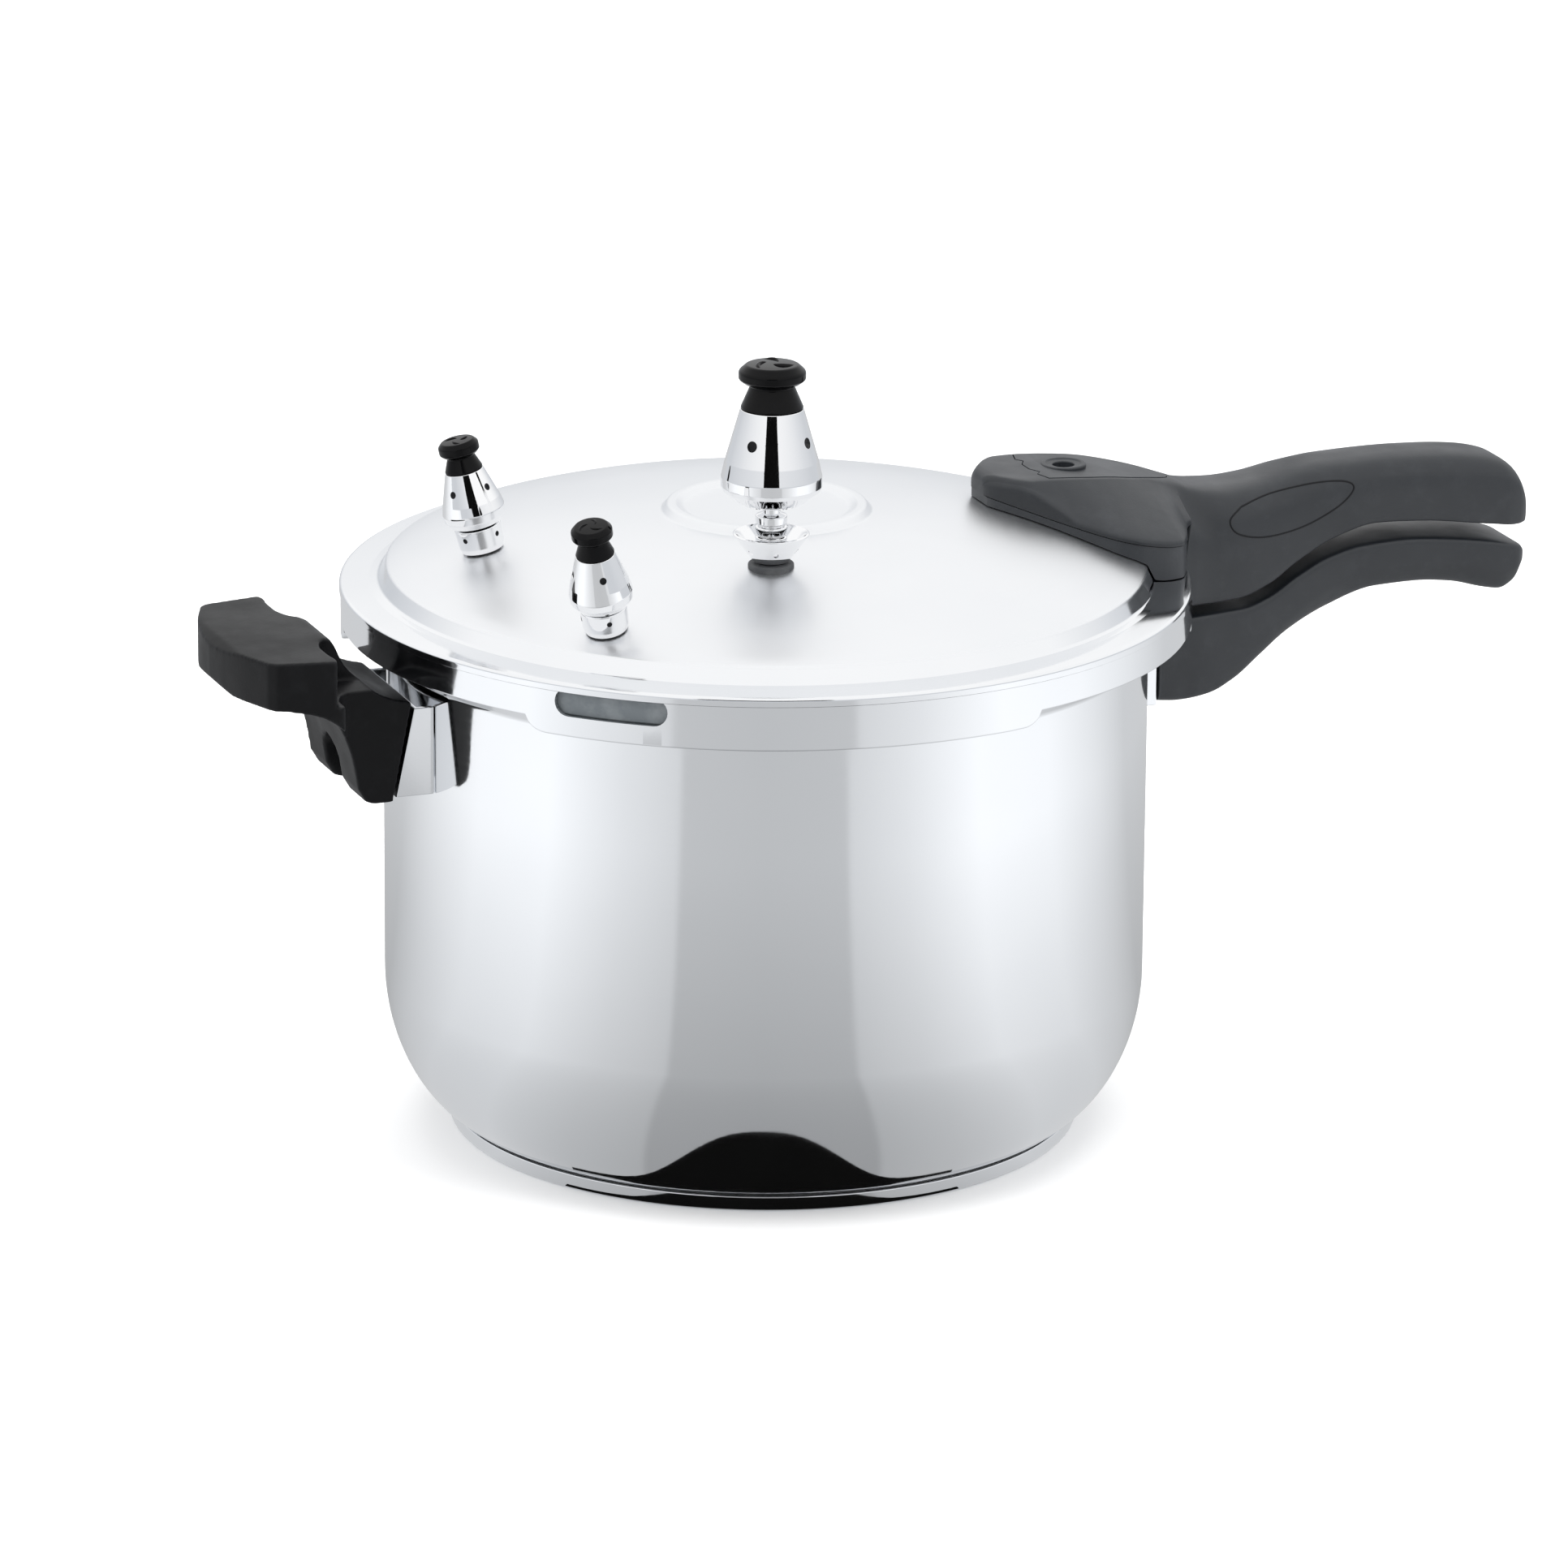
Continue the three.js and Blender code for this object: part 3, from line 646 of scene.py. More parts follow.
def round_angles(centres, half, fine=3.0):
    """Steps round a ring, closer together where a tab ends."""
    ends = [c + s * half for c in centres for s in (-1, 1)]
    angles = []
    a = 0.0
    while a < 360 - 1e-6:
        angles.append(math.radians(a))
        a += 0.5 if nearest_turn(a, ends) < fine else 2.5
        a = round(a * 2) / 2
    return angles


def pot_body():
    outer = corner_points(CORNER_A, CORNER_B, np.linspace(20, 90, 30))
    inner = corner_points(CORNER_A - SHEET, CORNER_B - SHEET, np.linspace(24, 90, 26))
    wall = [(WALL_R, z) for z in np.linspace(60, 150, 7)]
    lip = [(WALL_R, 158.6, 3), (123.6, RIM_Z - 4.3, 2), (RIM_R, RIM_Z - TOOTH_T, 0.7),
           (RIM_R, RIM_Z, 0.8), (WALL_R - SHEET, RIM_Z, 1.2)]
    lip = fillets([wall[-1], *lip, (inner[-1][0], 150)])[1:-1]
    profile = [(0, FLOOR_Z), (50, FLOOR_Z), (97, FLOOR_Z), *outer, *wall, *lip,
               *[(inner[-1][0], z) for z in (150, 120, 90, 60)], *reversed(inner),
               (96, FLOOR_Z + SHEET), (50, FLOOR_Z + SHEET), (0, FLOOR_Z + SHEET)]
    profile = [tuple(map(float, p)) for p in profile]
    pushed = {i for i, p in enumerate(profile)
              if p[0] > RIM_R - 1.2 and p[1] > RIM_Z - TOOTH_T - 0.1}

    def teeth(point, index, azimuth):
        if index not in pushed:
            return point
        share = (TOOTH_SPAN / 2 + 1 - nearest_turn(azimuth, LUG_AZ)) / 2
        share = min(max(share, 0), 1)
        share = share * share * (3 - 2 * share)
        return point[0] + (TOOTH_R - RIM_R) * share, point[1]

    body = turned("pot_shell", profile, shape=teeth,
                  angles=round_angles(LUG_AZ, TOOTH_SPAN / 2))
    fit(true_normals(body, profile), "pot", "steel", "pot_body")


def base_pieces():
    cap = fillets([
        (0, 0), (BASE_R, 0, 2.2), (BASE_R, FLOOR_Z - 0.1, 0.3), (BASE_R - 0.9, FLOOR_Z - 0.1),
        (BASE_R - 0.9, 1.0, 1.6), (0, 0.8),
    ])
    fitting("base_cap_skin", "pot", "steel", "base_cap", cap, seg=SEG)
    core = fillets([(0, 1.1), (99.6, 1.1, 1), (99.6, FLOOR_Z - 0.3, 0.4), (0, FLOOR_Z - 0.3)])
    fitting("base_core_disc", "pot", "aluminium", "base_core", core, seg=SEG)


def channel(front, half, low, high, thick=1.8):
    """Bent sheet bracket between a handle and the wall; front is its face's x below and above."""
    bottom, top = front
    outline = [(100, low), (bottom, low), (top, high), (100, high)]
    hollow = [(90, low - 5), (bottom - thick + 0.6, low - 5), (top - thick - 0.6, high + 5),
              (90, high + 5)]
    body = prism(outline, -half, half, "XZ")
    return cut(body, prism(hollow, -half + thick, half - thick, "XZ"),
               pin(low - 10, high + 10, WALL_R + 0.3, seg=SEG))


def bevelled(obj, width=0.35):
    step = obj.modifiers.new("edges", "BEVEL")
    step.width = width * MM
    step.segments = 3
    step.limit_method = "ANGLE"
    step.angle_limit = math.radians(35)
    return weighted(bake(obj))


def half_turn(obj):
    obj.data.transform(Matrix.Rotation(math.pi, 4, "Z"))
    return obj


def brackets():
    lower = channel((127.4, 127.4), 19, 128, 152)
    tongue = prism([(125.9, -9), (141, -9), (141, 9), (125.9, 9)], 140, 142)
    lower = cut(join(lower, tongue), pin(138, 144, 2.3, LOWER_SCREW_X))
    fit(bevelled(lower), "pot", "steel", "lower_bracket")
    helper = channel((132, 126), 23.4, 125, 153.4)
    cut(helper, spoke(0, 120, 140, HELPER_SCREW_Z, 2.2, 32))
    fit(bevelled(half_turn(helper)), "pot", "steel", "helper_bracket")


def screw(name, head_r, head_t, shank_r, length):
    """Slotted screw with its head below z 0."""
    profile = fillets([
        (0, -head_t), (head_r, -head_t, head_t * 0.5), (head_r, 0, 0.2), (shank_r, 0),
        (shank_r, length, 0.6), (0, length),
    ])
    body = turned(name, profile, 40)
    slot = head_r * 0.75
    cut(body, prism([(-slot, -0.45), (slot, -0.45), (slot, 0.45), (-slot, 0.45)],
                    -head_t - 1, -head_t + 0.8))
    return true_normals(body, profile)


def screws():
    lower = screw("lower_fixing", 4.2, 2.8, 2, 14)
    lower.data.transform(shifted(LOWER_SCREW_X, 133))
    fit(lower, "pot", "chrome", "lower_screw")
    helper = screw("helper_fixing", 3.8, 2.8, 1.8, 9)
    helper.data.transform(shifted(135.4, HELPER_SCREW_Z) @ Matrix.Rotation(-math.pi / 2, 4, "Y"))
    fit(half_turn(helper), "pot", "chrome", "helper_screw")
    head_r = 3.75
    for i, x in enumerate(HANDLE_SCREW_X, 1):
        top = dome_z(x) - SHEET - 0.4 - head_r * math.tan(dome_slope(x))
        piece = screw(f"lid_fixing_{i}", head_r, 2.5, 1.9, 10)
        piece.data.transform(shifted(x, top))
        fit(piece, "lid", "chrome", f"handle_screw_{i}")


def lower_handle():
    top = track([
        (127.8, 154.8), (133, 156), (142, 156.7), (158, 157.1), (167.3, 159.5), (178.3, 165.5),
        (189.3, 170.4), (201.7, 173.1), (215.7, 173.8), (236.8, 172), (257.5, 168),
        (259.6, 166.4), (260.8, 163.6),
    ])
    under = track([
        (127.8, 127.6), (136, 126.8), (146, 127.8), (155.4, 131.4), (164.9, 138), (175.9, 145.6),
        (189.7, 152), (207.7, 157.2), (221.7, 157.6), (234.4, 156.4), (247, 153.2), (252, 152.4),
        (256.4, 154.4), (259.4, 158.4), (260.8, 161.4),
    ])
    width = track([
        (127.8, 20.5), (140, 20.5), (155, 18.4), (175, 15.6), (200, 14.1), (230, 14.3),
        (248, 15.3), (256, 14.2), (259.6, 11), (260.8, 7.5),
    ])

    def section(x):
        zt, zb, w = top(x), under(x), width(x)
        h = zt - zb
        grip = min(max((x - 150) / 40, 0), 1)
        low = 0.16 + 0.22 * grip
        return [
            (0, zt), (w * 0.55, zt), (w - 1.6, zt), (w, zt - 0.6), (w + 0.1, zt - h * 0.2),
            (w, zt - h * 0.5), (w * (1 - 0.03 * grip), zb + h * low),
            (w * (0.9 - 0.12 * grip), zb + h * 0.06), (w * 0.5, zb), (0, zb),
        ]

    body = loft("lower_grip", steps_between(
        (127.8, 131, 6), (131, 150, 16), (150, 246, 70), (246, 257, 16), (257, 260.8, 14)), section)
    slot = prism([(100, -9.4), (141.4, -9.4), (141.4, 9.4), (100, 9.4)], 139.7, 142.3)
    cut(body, slot, pin(100, 148, 2.4, LOWER_SCREW_X), pin(100, 133.4, 4.6, LOWER_SCREW_X))
    fit(shade(body), "pot", "black", "lower_handle")


def helper_handle():
    side = [
        (126.9, 155.6), *smooth_line([(132, 156.8), (138, 159.6), (144, 165), (148, 172.6)], 12),
        (149.6, 175), (152, 176), (182, 176), (185.5, 173.6), (186, 164), (183, 161.2),
        *smooth_line([(172, 160.6), (160, 157.6), (151.5, 150.5), (147, 141), (144.6, 129)], 24),
        (142, 124.6), (139, 123.7), (133.3, 123.7),
    ]
    edge = smooth_line([(155.4, 39.8), (174.8, 36.4)], 4)
    outer = smooth_line([(177.2, 34.2), (181.9, 22), (184.3, 11), (185.2, 0)], 18)
    plan = both([
        (120, 24), (148, 24), (151, 26.5), (153, 31), (153.4, 38.6), *edge, *outer,
    ])
    body = meet(prism(side, -50, 50, "XZ"), prism(plan, 100, 200))
    rest = smooth_line([(140, 11), (148, 11.6), (153, 14), (155.8, 20), (156.4, 28),
                        (155.8, 36), (155.6, 46), (140, 46)], 36)
    for flank in (-1, 1):
        cut(body, prism([(x, flank * y) for x, y in rest], 161, 190))
    arch = smooth_line([(-7.4, 133), (-6.4, 137.4), (0, 141.4), (6.4, 137.4), (7.4, 133)], 20)
    slot = prism([(-7.4, 110), *arch, (7.4, 110)], 135, 170, "YZ")
    cut(body, slot, spoke(0, 110, 160, HELPER_SCREW_Z, 2.3, 32))
    fit(half_turn(moulded(body, 0.6, 5)), "pot", "dull", "helper_handle")


# ---- lid ----
def lid_outer(off=0.0):
    dome = [(r, dome_z(r) + off) for r in np.linspace(35.5, 117.5, 28)]
    return fillets([
        (22, FLAT_Z + off), (26.3, FLAT_Z + off, 3), (28.8, BEAD_Z + off, 1.6),
        (31.4, BEAD_Z + off, 1.6), (33.4, dome_z(33.4) + off, 1.2), *dome,
        (DOME_R - 0.3 + 0.6 * off, DOME_EDGE_Z - 0.3 + off, 1.8),
        (123 + off, FLANGE_Z + 0.3 + off, 1.4), (FLANGE_IN_R + 2.2, FLANGE_Z + off, 1.5),
        (RIM_LINE_R + off, FLANGE_Z - 0.3 + off, 2.6), (RIM_LINE_R + off, FLANGE_Z - 2.8),
    ])


def lid_surface(off):
    """Outer line of the lid from its middle to the rounded rim, moved out."""
    line = [(0, FLAT_Z + off), (12, FLAT_Z + off), *lid_outer(off)]
    return [tuple(map(float, p)) for p in line]


def lid_shell():
    inner_dome = [(r - 0.4, dome_z(r) - SHEET) for r in np.linspace(117.5, 35.5, 24)]
    profile = lid_surface(0)
    profile += fillets([
        profile[-1], (RIM_LINE_R, SEAM_Z, 0.5),
        (SKIRT_R - SHEET, SEAM_Z, 0.3), (SKIRT_R - SHEET, FLANGE_Z - SHEET, 0.8),
        (122.2, FLANGE_Z - SHEET, 1), (121.2, FLANGE_Z + 2, 1), (119.2, DOME_EDGE_Z - 2, 1),
        inner_dome[0],
    ])[1:-1]
    profile += inner_dome + [(28, FLAT_Z + 0.2 - SHEET), (14, FLAT_Z - SHEET),
                             (0, FLAT_Z - SHEET)]
    profile = [tuple(map(float, p)) for p in profile]
    body = turned("lid_dome", profile, SEG)
    x, y = (WEIGHT_AT[0] * f(math.radians(WEIGHT_AT[1])) for f in (math.cos, math.sin))
    tools = [pin(180, 210, 4.3, x, y), pin(175, 200, 4.3, PIN_X)]
    tools += [pin(170, 210, 2.3, at) for at in HANDLE_SCREW_X]
    for place in VALVES_AT.values():
        hole = pin(-8, 8, 3.3)
        hole.data.transform(stood(place, True))
        tools.append(hole)
    fit(true_normals(cut(body, *tools), profile), "lid", "satin", "lid_shell")


def lid_skirt():
    top = SEAM_Z - 0.15
    inner = SKIRT_R - SHEET
    profile = fillets([
        (inner, top), (SKIRT_R, top), (SKIRT_R, SKIRT_Z, 0.6), (inner - 0.1, SKIRT_Z),
        (inner - 0.1, SKIRT_Z + LUG_T), (inner, SKIRT_Z + LUG_T + 0.4),
    ])
    base = [tuple(map(float, p)) for p in profile]
    level = [i for i, p in enumerate(base) if p[1] < SKIRT_Z + LUG_T + 0.5]
    tips = {len(base) - 3, len(base) - 2}

    def lugs(point, index, azimuth):
        if index not in level:
            return point
        share = min(max((LUG_SPAN / 2 + 0.4 - nearest_turn(azimuth, LUG_AZ)) / 3.2, 0), 1)
        drop = (SKIRT_Z - LUG_Z) * math.sqrt(1 - (1 - share) ** 2)
        reach = (inner - 0.1 - LUG_IN_R) * share if index in tips else 0
        return point[0] - reach, point[1] - drop

    body = turned("lid_band", base, shape=lugs, angles=round_angles(LUG_AZ, LUG_SPAN / 2, 4))
    middle, r = sum(WINDOW_Z) / 2, (WINDOW_Z[1] - WINDOW_Z[0]) / 2
    side = [(WINDOW_LEN / 2 - r + r * math.cos(a), middle + r * math.sin(a))
            for a in np.linspace(-math.pi / 2, math.pi / 2, 13)]
    window = prism(side + [(-y, z) for y, z in reversed(side)], 126, 145, "YZ")
    window.data.transform(Matrix.Rotation(math.radians(WINDOW_AZ), 4, "Z"))
    fit(true_normals(cut(body, window), base), "lid", "steel", "lid_skirt")


def sealing_ring():
    profile = fillets([
        (121, RIM_Z + 0.3, 0.5), (131.8, RIM_Z + 0.3, 0.8), (133, 167.6, 0.6), (133, 175.5, 0.6),
        (132.4, 176.1), (121, 176.1, 0.5), (121, 174.4, 0.5), (130.4, 173.9, 1.2),
        (130.4, 168.6, 1.2), (121, 168.1, 0.5),
    ])
    fitting("gasket", "lid", "rubber", "sealing_ring", profile, seg=SEG)


# ---- lid handle ----
SEAM = track([(60, 201.6), (72, 199.2), (80, 197), (90, 194.3), (100, 191.9), (110, 190),
              (118, 188.9), (126, 188.4), (136.6, 188.2)])
WING = track([(72, 5.2), (72.8, 7.6), (75.6, 11.8), (81, 18.6), (88, 27.5), (96, 37.2),
              (104, 44.6), (111, 47.4), (118, 48), (123.6, 46.4), (127.6, 40.5), (131, 32.5),
              (134, 26), (138, 21.8), (150, 19.6), (165, 17.6), (190, 15.2), (215, 14.6),
              (240, 15), (252, 14.9), (257, 13.8), (260, 11.6), (261.8, 8)])
TOP = track([(72, 203.4), (72.5, 204.8), (73.6, 205.7), (75.5, 206.1), (88, 206), (108, 204.7),
             (124, 202), (133, 199.9), (138.5, 198.2), (142, 196.9), (149, 195.7), (156, 195.3),
             (166, 196.1), (179, 198.5), (193, 200.1), (214, 200.6), (230, 200), (242, 198.8),
             (250.7, 196.8), (255.5, 194), (258.6, 190), (260.4, 185.5), (261.4, 181),
             (261.8, 178.6)])
UNDER = track([(136.8, 160), (146, 159.9), (156.2, 160.2), (167.2, 163.6), (178.1, 170.2),
               (191.8, 176.7), (205.7, 179.9), (222.5, 179.1), (246.6, 175.9), (257, 174.7),
               (260, 174.8), (261.2, 175.4), (261.8, 176.4)])
PLATEAU = track([(72, 3.5), (76, 9), (80, 14), (84, 16.6), (94, 17.2), (106, 16.8), (118, 14.6),
                 (128, 10.4), (135, 6), (139, 4)])
FRONT_END = 136.7
RIM_CLEAR = 136.1


def front_section(x):
    zt, w, seam = TOP(x), WING(x), SEAM(x) + 0.3
    p = min(PLATEAU(x), w - 1.2)
    edge = max(zt - 0.6 - (w - p) * 0.6, seam + 1.6)
    slope = (zt - 0.6 - edge) / max(w - p, 0.1)
    return [
        (0, zt), (p * 0.6, zt), (p - 0.6, zt), (p + 0.9, zt - 0.7),
        (p + (w - p) * 0.5, zt - 0.6 - slope * (w - p) * 0.5), (w - 1.2, edge + slope + 0.2),
        (w, edge - 0.5), (w, seam), (w, seam), (0, seam),
    ]


def grip_section(x):
    zt, zb, w = TOP(x), UNDER(x), WING(x)
    h = zt - zb
    return [
        (0, zt), (w * 0.4, zt), (w * 0.72, zt - h * 0.045), (w * 0.94, zt - h * 0.2),
        (w, zt - h * 0.42), (w, zt - h * 0.62), (w * 0.99, zb + h * 0.2), (w * 0.97, zb + 0.4),
        (w * 0.86, zb), (0, zb),
    ]


def blend(first, second, share):
    return [(a[0] * (1 - share) + b[0] * share, a[1] * (1 - share) + b[1] * share)
            for a, b in zip(first, second)]


def handle_section(x):
    """Front of the handle over the lid, turning to the grip's section behind the rim."""
    grip = min(max((x - 124) / 32, 0), 1)
    grip = grip * grip * (3 - 2 * grip)
    front = front_section(x)
    if x >= FRONT_END:
        full = grip_section(x)
        return blend(front[:6], full, grip) + full[6:]
    drop = TOP(x) - TOP(FRONT_END)
    upper = [(y * WING(x) / WING(FRONT_END), max(z + drop, SEAM(x) + 1.2))
             for y, z in grip_section(FRONT_END)[:6]]
    return blend(front[:6], upper, grip) + front[6:]


def cover_outline(off):
    tip = smooth_line([(94, 15.4), (106, 15.2), (118, 13), (128, 8.8), (135, 4), (137.4, 0)], 20)
    half = [(88.6 - off, 0), (88.6 - off, 3), (90.6 - off, 7), (88.8 - off, 9.4),
            (90.4 - off, 15 + off), *[(x + off * 0.6, y + off) for x, y in tip[:-1]],
            (137.4 + off, 0)]
    return both(half)


def cover_block(name, off, drop, rise):
    """Slab that follows the top line of the lid handle."""
    xs = np.linspace(86, 140, 28)
    low = [(x, TOP(x) - drop) for x in xs]
    high = [(x, TOP(x) + rise) for x in reversed(xs)]
    slab = prism(low + high, -30, 30, "XZ")
    slab.name = name
    slab.data.name = name
    return meet(slab, prism(cover_outline(off), 150, 230))


def upper_handle():
    body = loft("lid_grip", steps_between(
        (72, 76, 14), (76, 122, 46), (122, FRONT_END - 0.05, 26), (FRONT_END - 0.05, 136.75, 1),
        (136.75, 150, 16), (150, 248, 76), (248, 257, 14), (257, 261.8, 18)), handle_section)
    for vert in body.data.vertices:
        x, y, z = (c / MM for c in vert.co)
        if FRONT_END - 0.1 < x < 139 and z < 186:
            rim = max(math.sqrt(max(RIM_CLEAR ** 2 - y * y, 0)), 128)
            vert.co.x = rim * MM + vert.co.x - FRONT_END * MM
    cut(body, cover_block("pocket", 0.3, 2.4, 6), pin(150, 230, 5, PIN_X),
        pin(150, 201.6, 2.2, HANDLE_SCREW_X[0]), pin(150, 197.6, 2.2, HANDLE_SCREW_X[1]))
    return fit(shade(body), "lid", "black", "upper_handle")


def handle_cover():
    body = cover_block("cover_plate", 0, 2.1, 0.15)
    bevelled(body, 0.4)
    body.modifiers.clear()
    boss = fillets([(3.5, 203.2), (7.3, 203.2), (7.3, 206.3, 0.7), (6, 206.3, 0.3),
                    (5.4, 205.9, 0.4), (3.5, 205.7, 0.5)])
    ring = turned("boss", boss, 48)
    ring.data.transform(shifted(PIN_X))
    cut(body, pin(180, 230, 6.9, PIN_X, seg=48))
    join(body, ring)
    fit(weighted(body), "lid", "black", "handle_cover")


def thumb_line(handle):
    """Fine raised line that frames the thumb rest on either flank."""
    outline = smooth_line([
        (157, 190.5), (152.4, 186.8), (155, 182.4), (165, 180.2), (179, 182), (191, 187),
        (197, 192.5), (194, 195.2), (183, 195.4), (168, 193.4), (157, 190.5),
    ], 90)[:-1]
    tree = BVHTree.FromPolygons([v.co for v in handle.data.vertices],
                                [p.vertices for p in handle.data.polygons])
    for side, name in ((-1, "thumb_line_near"), (1, "thumb_line_far")):
        path = []
        for x, z in outline:
            start = Vector((x, side * 60, z)) * MM
            hit = tree.ray_cast(start, Vector((0, -side, 0)))[0]
            if hit:
                path.append(hit / MM + Vector((0, -side * 0.12, 0)))
        fit(tube(name, path, 0.34), "lid", "dull")


def handle_base():
    envelope = [(0, 140), *lid_surface(0.3), (RIM_LINE_R + 0.3, 140)]
    plan = both([(x, WING(x) - 0.5) for x in np.linspace(72.6, 134, 48)])
    xs = np.linspace(62, 140, 40)
    body = prism([(x, SEAM(x)) for x in xs] + [(140, 150), (62, 150)], -60, 60, "XZ")
    body = meet(body, prism(plan, 140, 215))
    body = meet(body, pin(139, 216, SKIRT_R - 0.3, seg=SEG))
    cut(body, turned("tool", envelope, SEG))
    cut(body, prism([(60, 130), (60, FLANGE_Z + 0.1), (150, FLANGE_Z + 0.1), (150, 130)],
                    -70, 70, "XZ"))
    cut(body, pin(150, 210, 5, PIN_X), *[pin(150, 210, 2.3, x) for x in HANDLE_SCREW_X])
    body.name = "lid_handle_foot"
    fit(weighted(body), "lid", "black", "handle_base")


# ---- turned fittings ----
def indicator():
    pin_line = fillets([
        (0, 175.4), (3.9, 175.4, 0.4), (3.9, 177.4, 0.4), (2.5, 177.4), (2.5, 191.8),
        (3.7, 191.8, 0.3), (3.7, 193, 0.3), (2.5, 193), (2.5, 197.2, 0.9), (0, 197.2),
    ])
    fitting("pressure_pin", "indicator", "dark", "float_pin", pin_line, shifted(PIN_X), seg=40)
    seal_line = fillets([
        (2.9, 183.4), (6, 183.4, 0.5), (6, 186, 0.4), (3.9, 186), (3.9, 191.4, 0.4), (2.9, 191.4),
    ])
    fitting("pin_seal", "lid", "rubber", "float_seal", seal_line, shifted(PIN_X), seg=40)


def hex_nut(name, width, bore, low, high):
    corner = width / math.sqrt(3)
    outline = [(corner * math.cos(math.radians(d)), corner * math.sin(math.radians(d)))
               for d in range(0, 360, 60)]
    nut = prism(outline, low, high)
    nut.name = name
    rounding = fillets([(0, low), (corner, low, 0.9), (corner, high, 0.9), (0, high)])
    meet(nut, turned("tool", rounding, 48))
    return cut(nut, pin(low - 1, high + 1, bore))


def vent():
    at = stood(WEIGHT_AT, False)
    grommet_line = fillets([(4.3, -3.4), (7.2, -3.4), (7.2, 1.3, 0.7), (4.3, 1.3)])
    grommet = turned("grommet", grommet_line)
    grommet.data.transform(at)
    cut(grommet, turned("tool", [(0, 150), *lid_surface(0.02), (RIM_LINE_R, 150)], SEG))
    fit(shade(grommet), "lid", "dark", "vent_grommet")
    cup = fillets([
        (4.3, 1.9), (5.6, 1.9, 0.4), (6.2, 2.7, 0.4), (11.6, 9.9, 0.3), (12.1, 10.6, 0.3),
        (11.3, 11, 0.3), (10.3, 10.1), (5.2, 3.3), (4.3, 3.3),
    ])
    fitting("vent_cup", "lid", "chrome", "vent_seat", cup, at,
            tools=[spoke(az, 3.4, 14, 5.6, 0.85) for az in range(20, 380, 60)])
    pipe = fillets([
        (1, -10), (3.9, -10), (3.9, 3.6), (5, 3.6, 0.5), (5, 9.6, 0.5), (4.2, 10.1, 0.2),
        (5.1, 10.6, 0.6), (5.1, 13, 0.6), (4.2, 13.5, 0.2), (5, 14, 0.6), (5, 16.6, 0.6),
        (2.7, 17.4), (2.7, 29.4, 0.9), (1, 30),
    ])
    fitting("vent_stem", "lid", "chrome", "vent_pipe", pipe, at)
    nut = hex_nut("vent_hex", 13, 4.2, -6.7, -2.7)
    nut.data.transform(at)
    fit(weighted(nut), "lid", "chrome", "vent_nut")
    strainer = fillets([
        (0, -14), (6.5, -14, 1), (6.5, -7, 0.2), (4.2, -7), (4.2, -8.2), (5.3, -8.2),
        (5.3, -12.8, 0.6), (0, -12.8),
    ])
    fitting("vent_filter", "lid", "chrome", "vent_strainer", strainer, at,
            tools=[spoke(az, 4.6, 9, -10.6, 0.8) for az in range(0, 360, 60)])


def swirl(name, body, radius, height, at):
    """Three raised sickles moulded on top of a knob."""
    steps, top, sides = 15, 7, 12
    verts, faces = [], []
    for blade in range(3):
        base = len(verts)
        for i in range(steps):
            t = i / (steps - 1)
            a = 2 * math.pi * blade / 3 + t * 2.1
            reach = radius * (0.12 + 0.7 * t)
            x, y = reach * math.cos(a), reach * math.sin(a)
            width = radius * 0.17 * math.sin(math.pi * min(max(t, 0.06), 0.94))
            lift = radius * 0.11 * math.sin(math.pi * min(max(t, 0.04), 0.96))
            drop = radius * 0.1 * (math.hypot(x, y) / radius) ** 4 * 3
            out = Vector((x, y, 0)).normalized()
            across = (Vector((-out.y, out.x, 0)) * 0.45 + out).normalized()
            centre = Vector((x, y, height - drop))
            for k in range(top):
                s = -1 + k / 3
                rise = lift * math.sqrt(max(1 - s * s, 0)) - radius * 0.03
                verts.append(centre + across * (width * s) + Vector((0, 0, rise)))
            for k in range(top - 2, 0, -1):
                s = -1 + k / 3
                verts.append(centre + across * (width * s) + Vector((0, 0, -radius * 0.12)))
        for i in range(steps - 1):
            a, b = base + i * sides, base + (i + 1) * sides
            for k in range(sides):
                j = (k + 1) % sides
                faces.append((a + k, a + j, b + j, b + k))
        faces.append(tuple(range(base, base + sides)))
        faces.append(tuple(range(base + (steps - 1) * sides, base + steps * sides)))
    piece = shade(make(name, verts, faces), math.radians(50))
    piece.data.transform(at)
    fit(piece, body, "gloss")


def weight():
    at = stood(WEIGHT_AT, False)
    bell = fillets([
        (0, 30.5), (3.3, 30.5), (3.3, 20.5), (9.6, 20.5, 0.5), (11, 21.4, 0.8), (15.2, 24.8, 0.5),
        (15.8, 26.2, 0.8), (15.75, 29.2, 3), (14.6, 34.3, 5), (9.9, 50.8, 0.3), (4, 50.8),
        (4, 46.3), (0, 46.3),
    ], 6)
    fitting("weight_cap", "weight", "chrome", "weight_bell", bell, at,
            [spoke(az, 8, 18, 41.2, 1.7) for az in VENT_AZ], 96)
    knob = fillets([
        (0, 46.6), (3.7, 46.6), (3.7, 51), (9.9, 51, 0.4), (6.8, 58.2, 0.8), (8.8, 58.9, 0.7),
        (10.5, 60.2, 1.2), (10.5, 62.7, 1.7), (8.2, 64.8, 1.8), (0, 65.4),
    ], 8)
    fitting("weight_grip", "weight", "gloss", "weight_knob", knob, at, seg=96)
    # black plugs: painted shade inside the bell's vents
    vent_shade_plugs("weight_vent", "weight", 8.2, 11.9, 41.2, 1.66, at)
    swirl("weight_swirl", "weight", 9.6, 65.1, at)


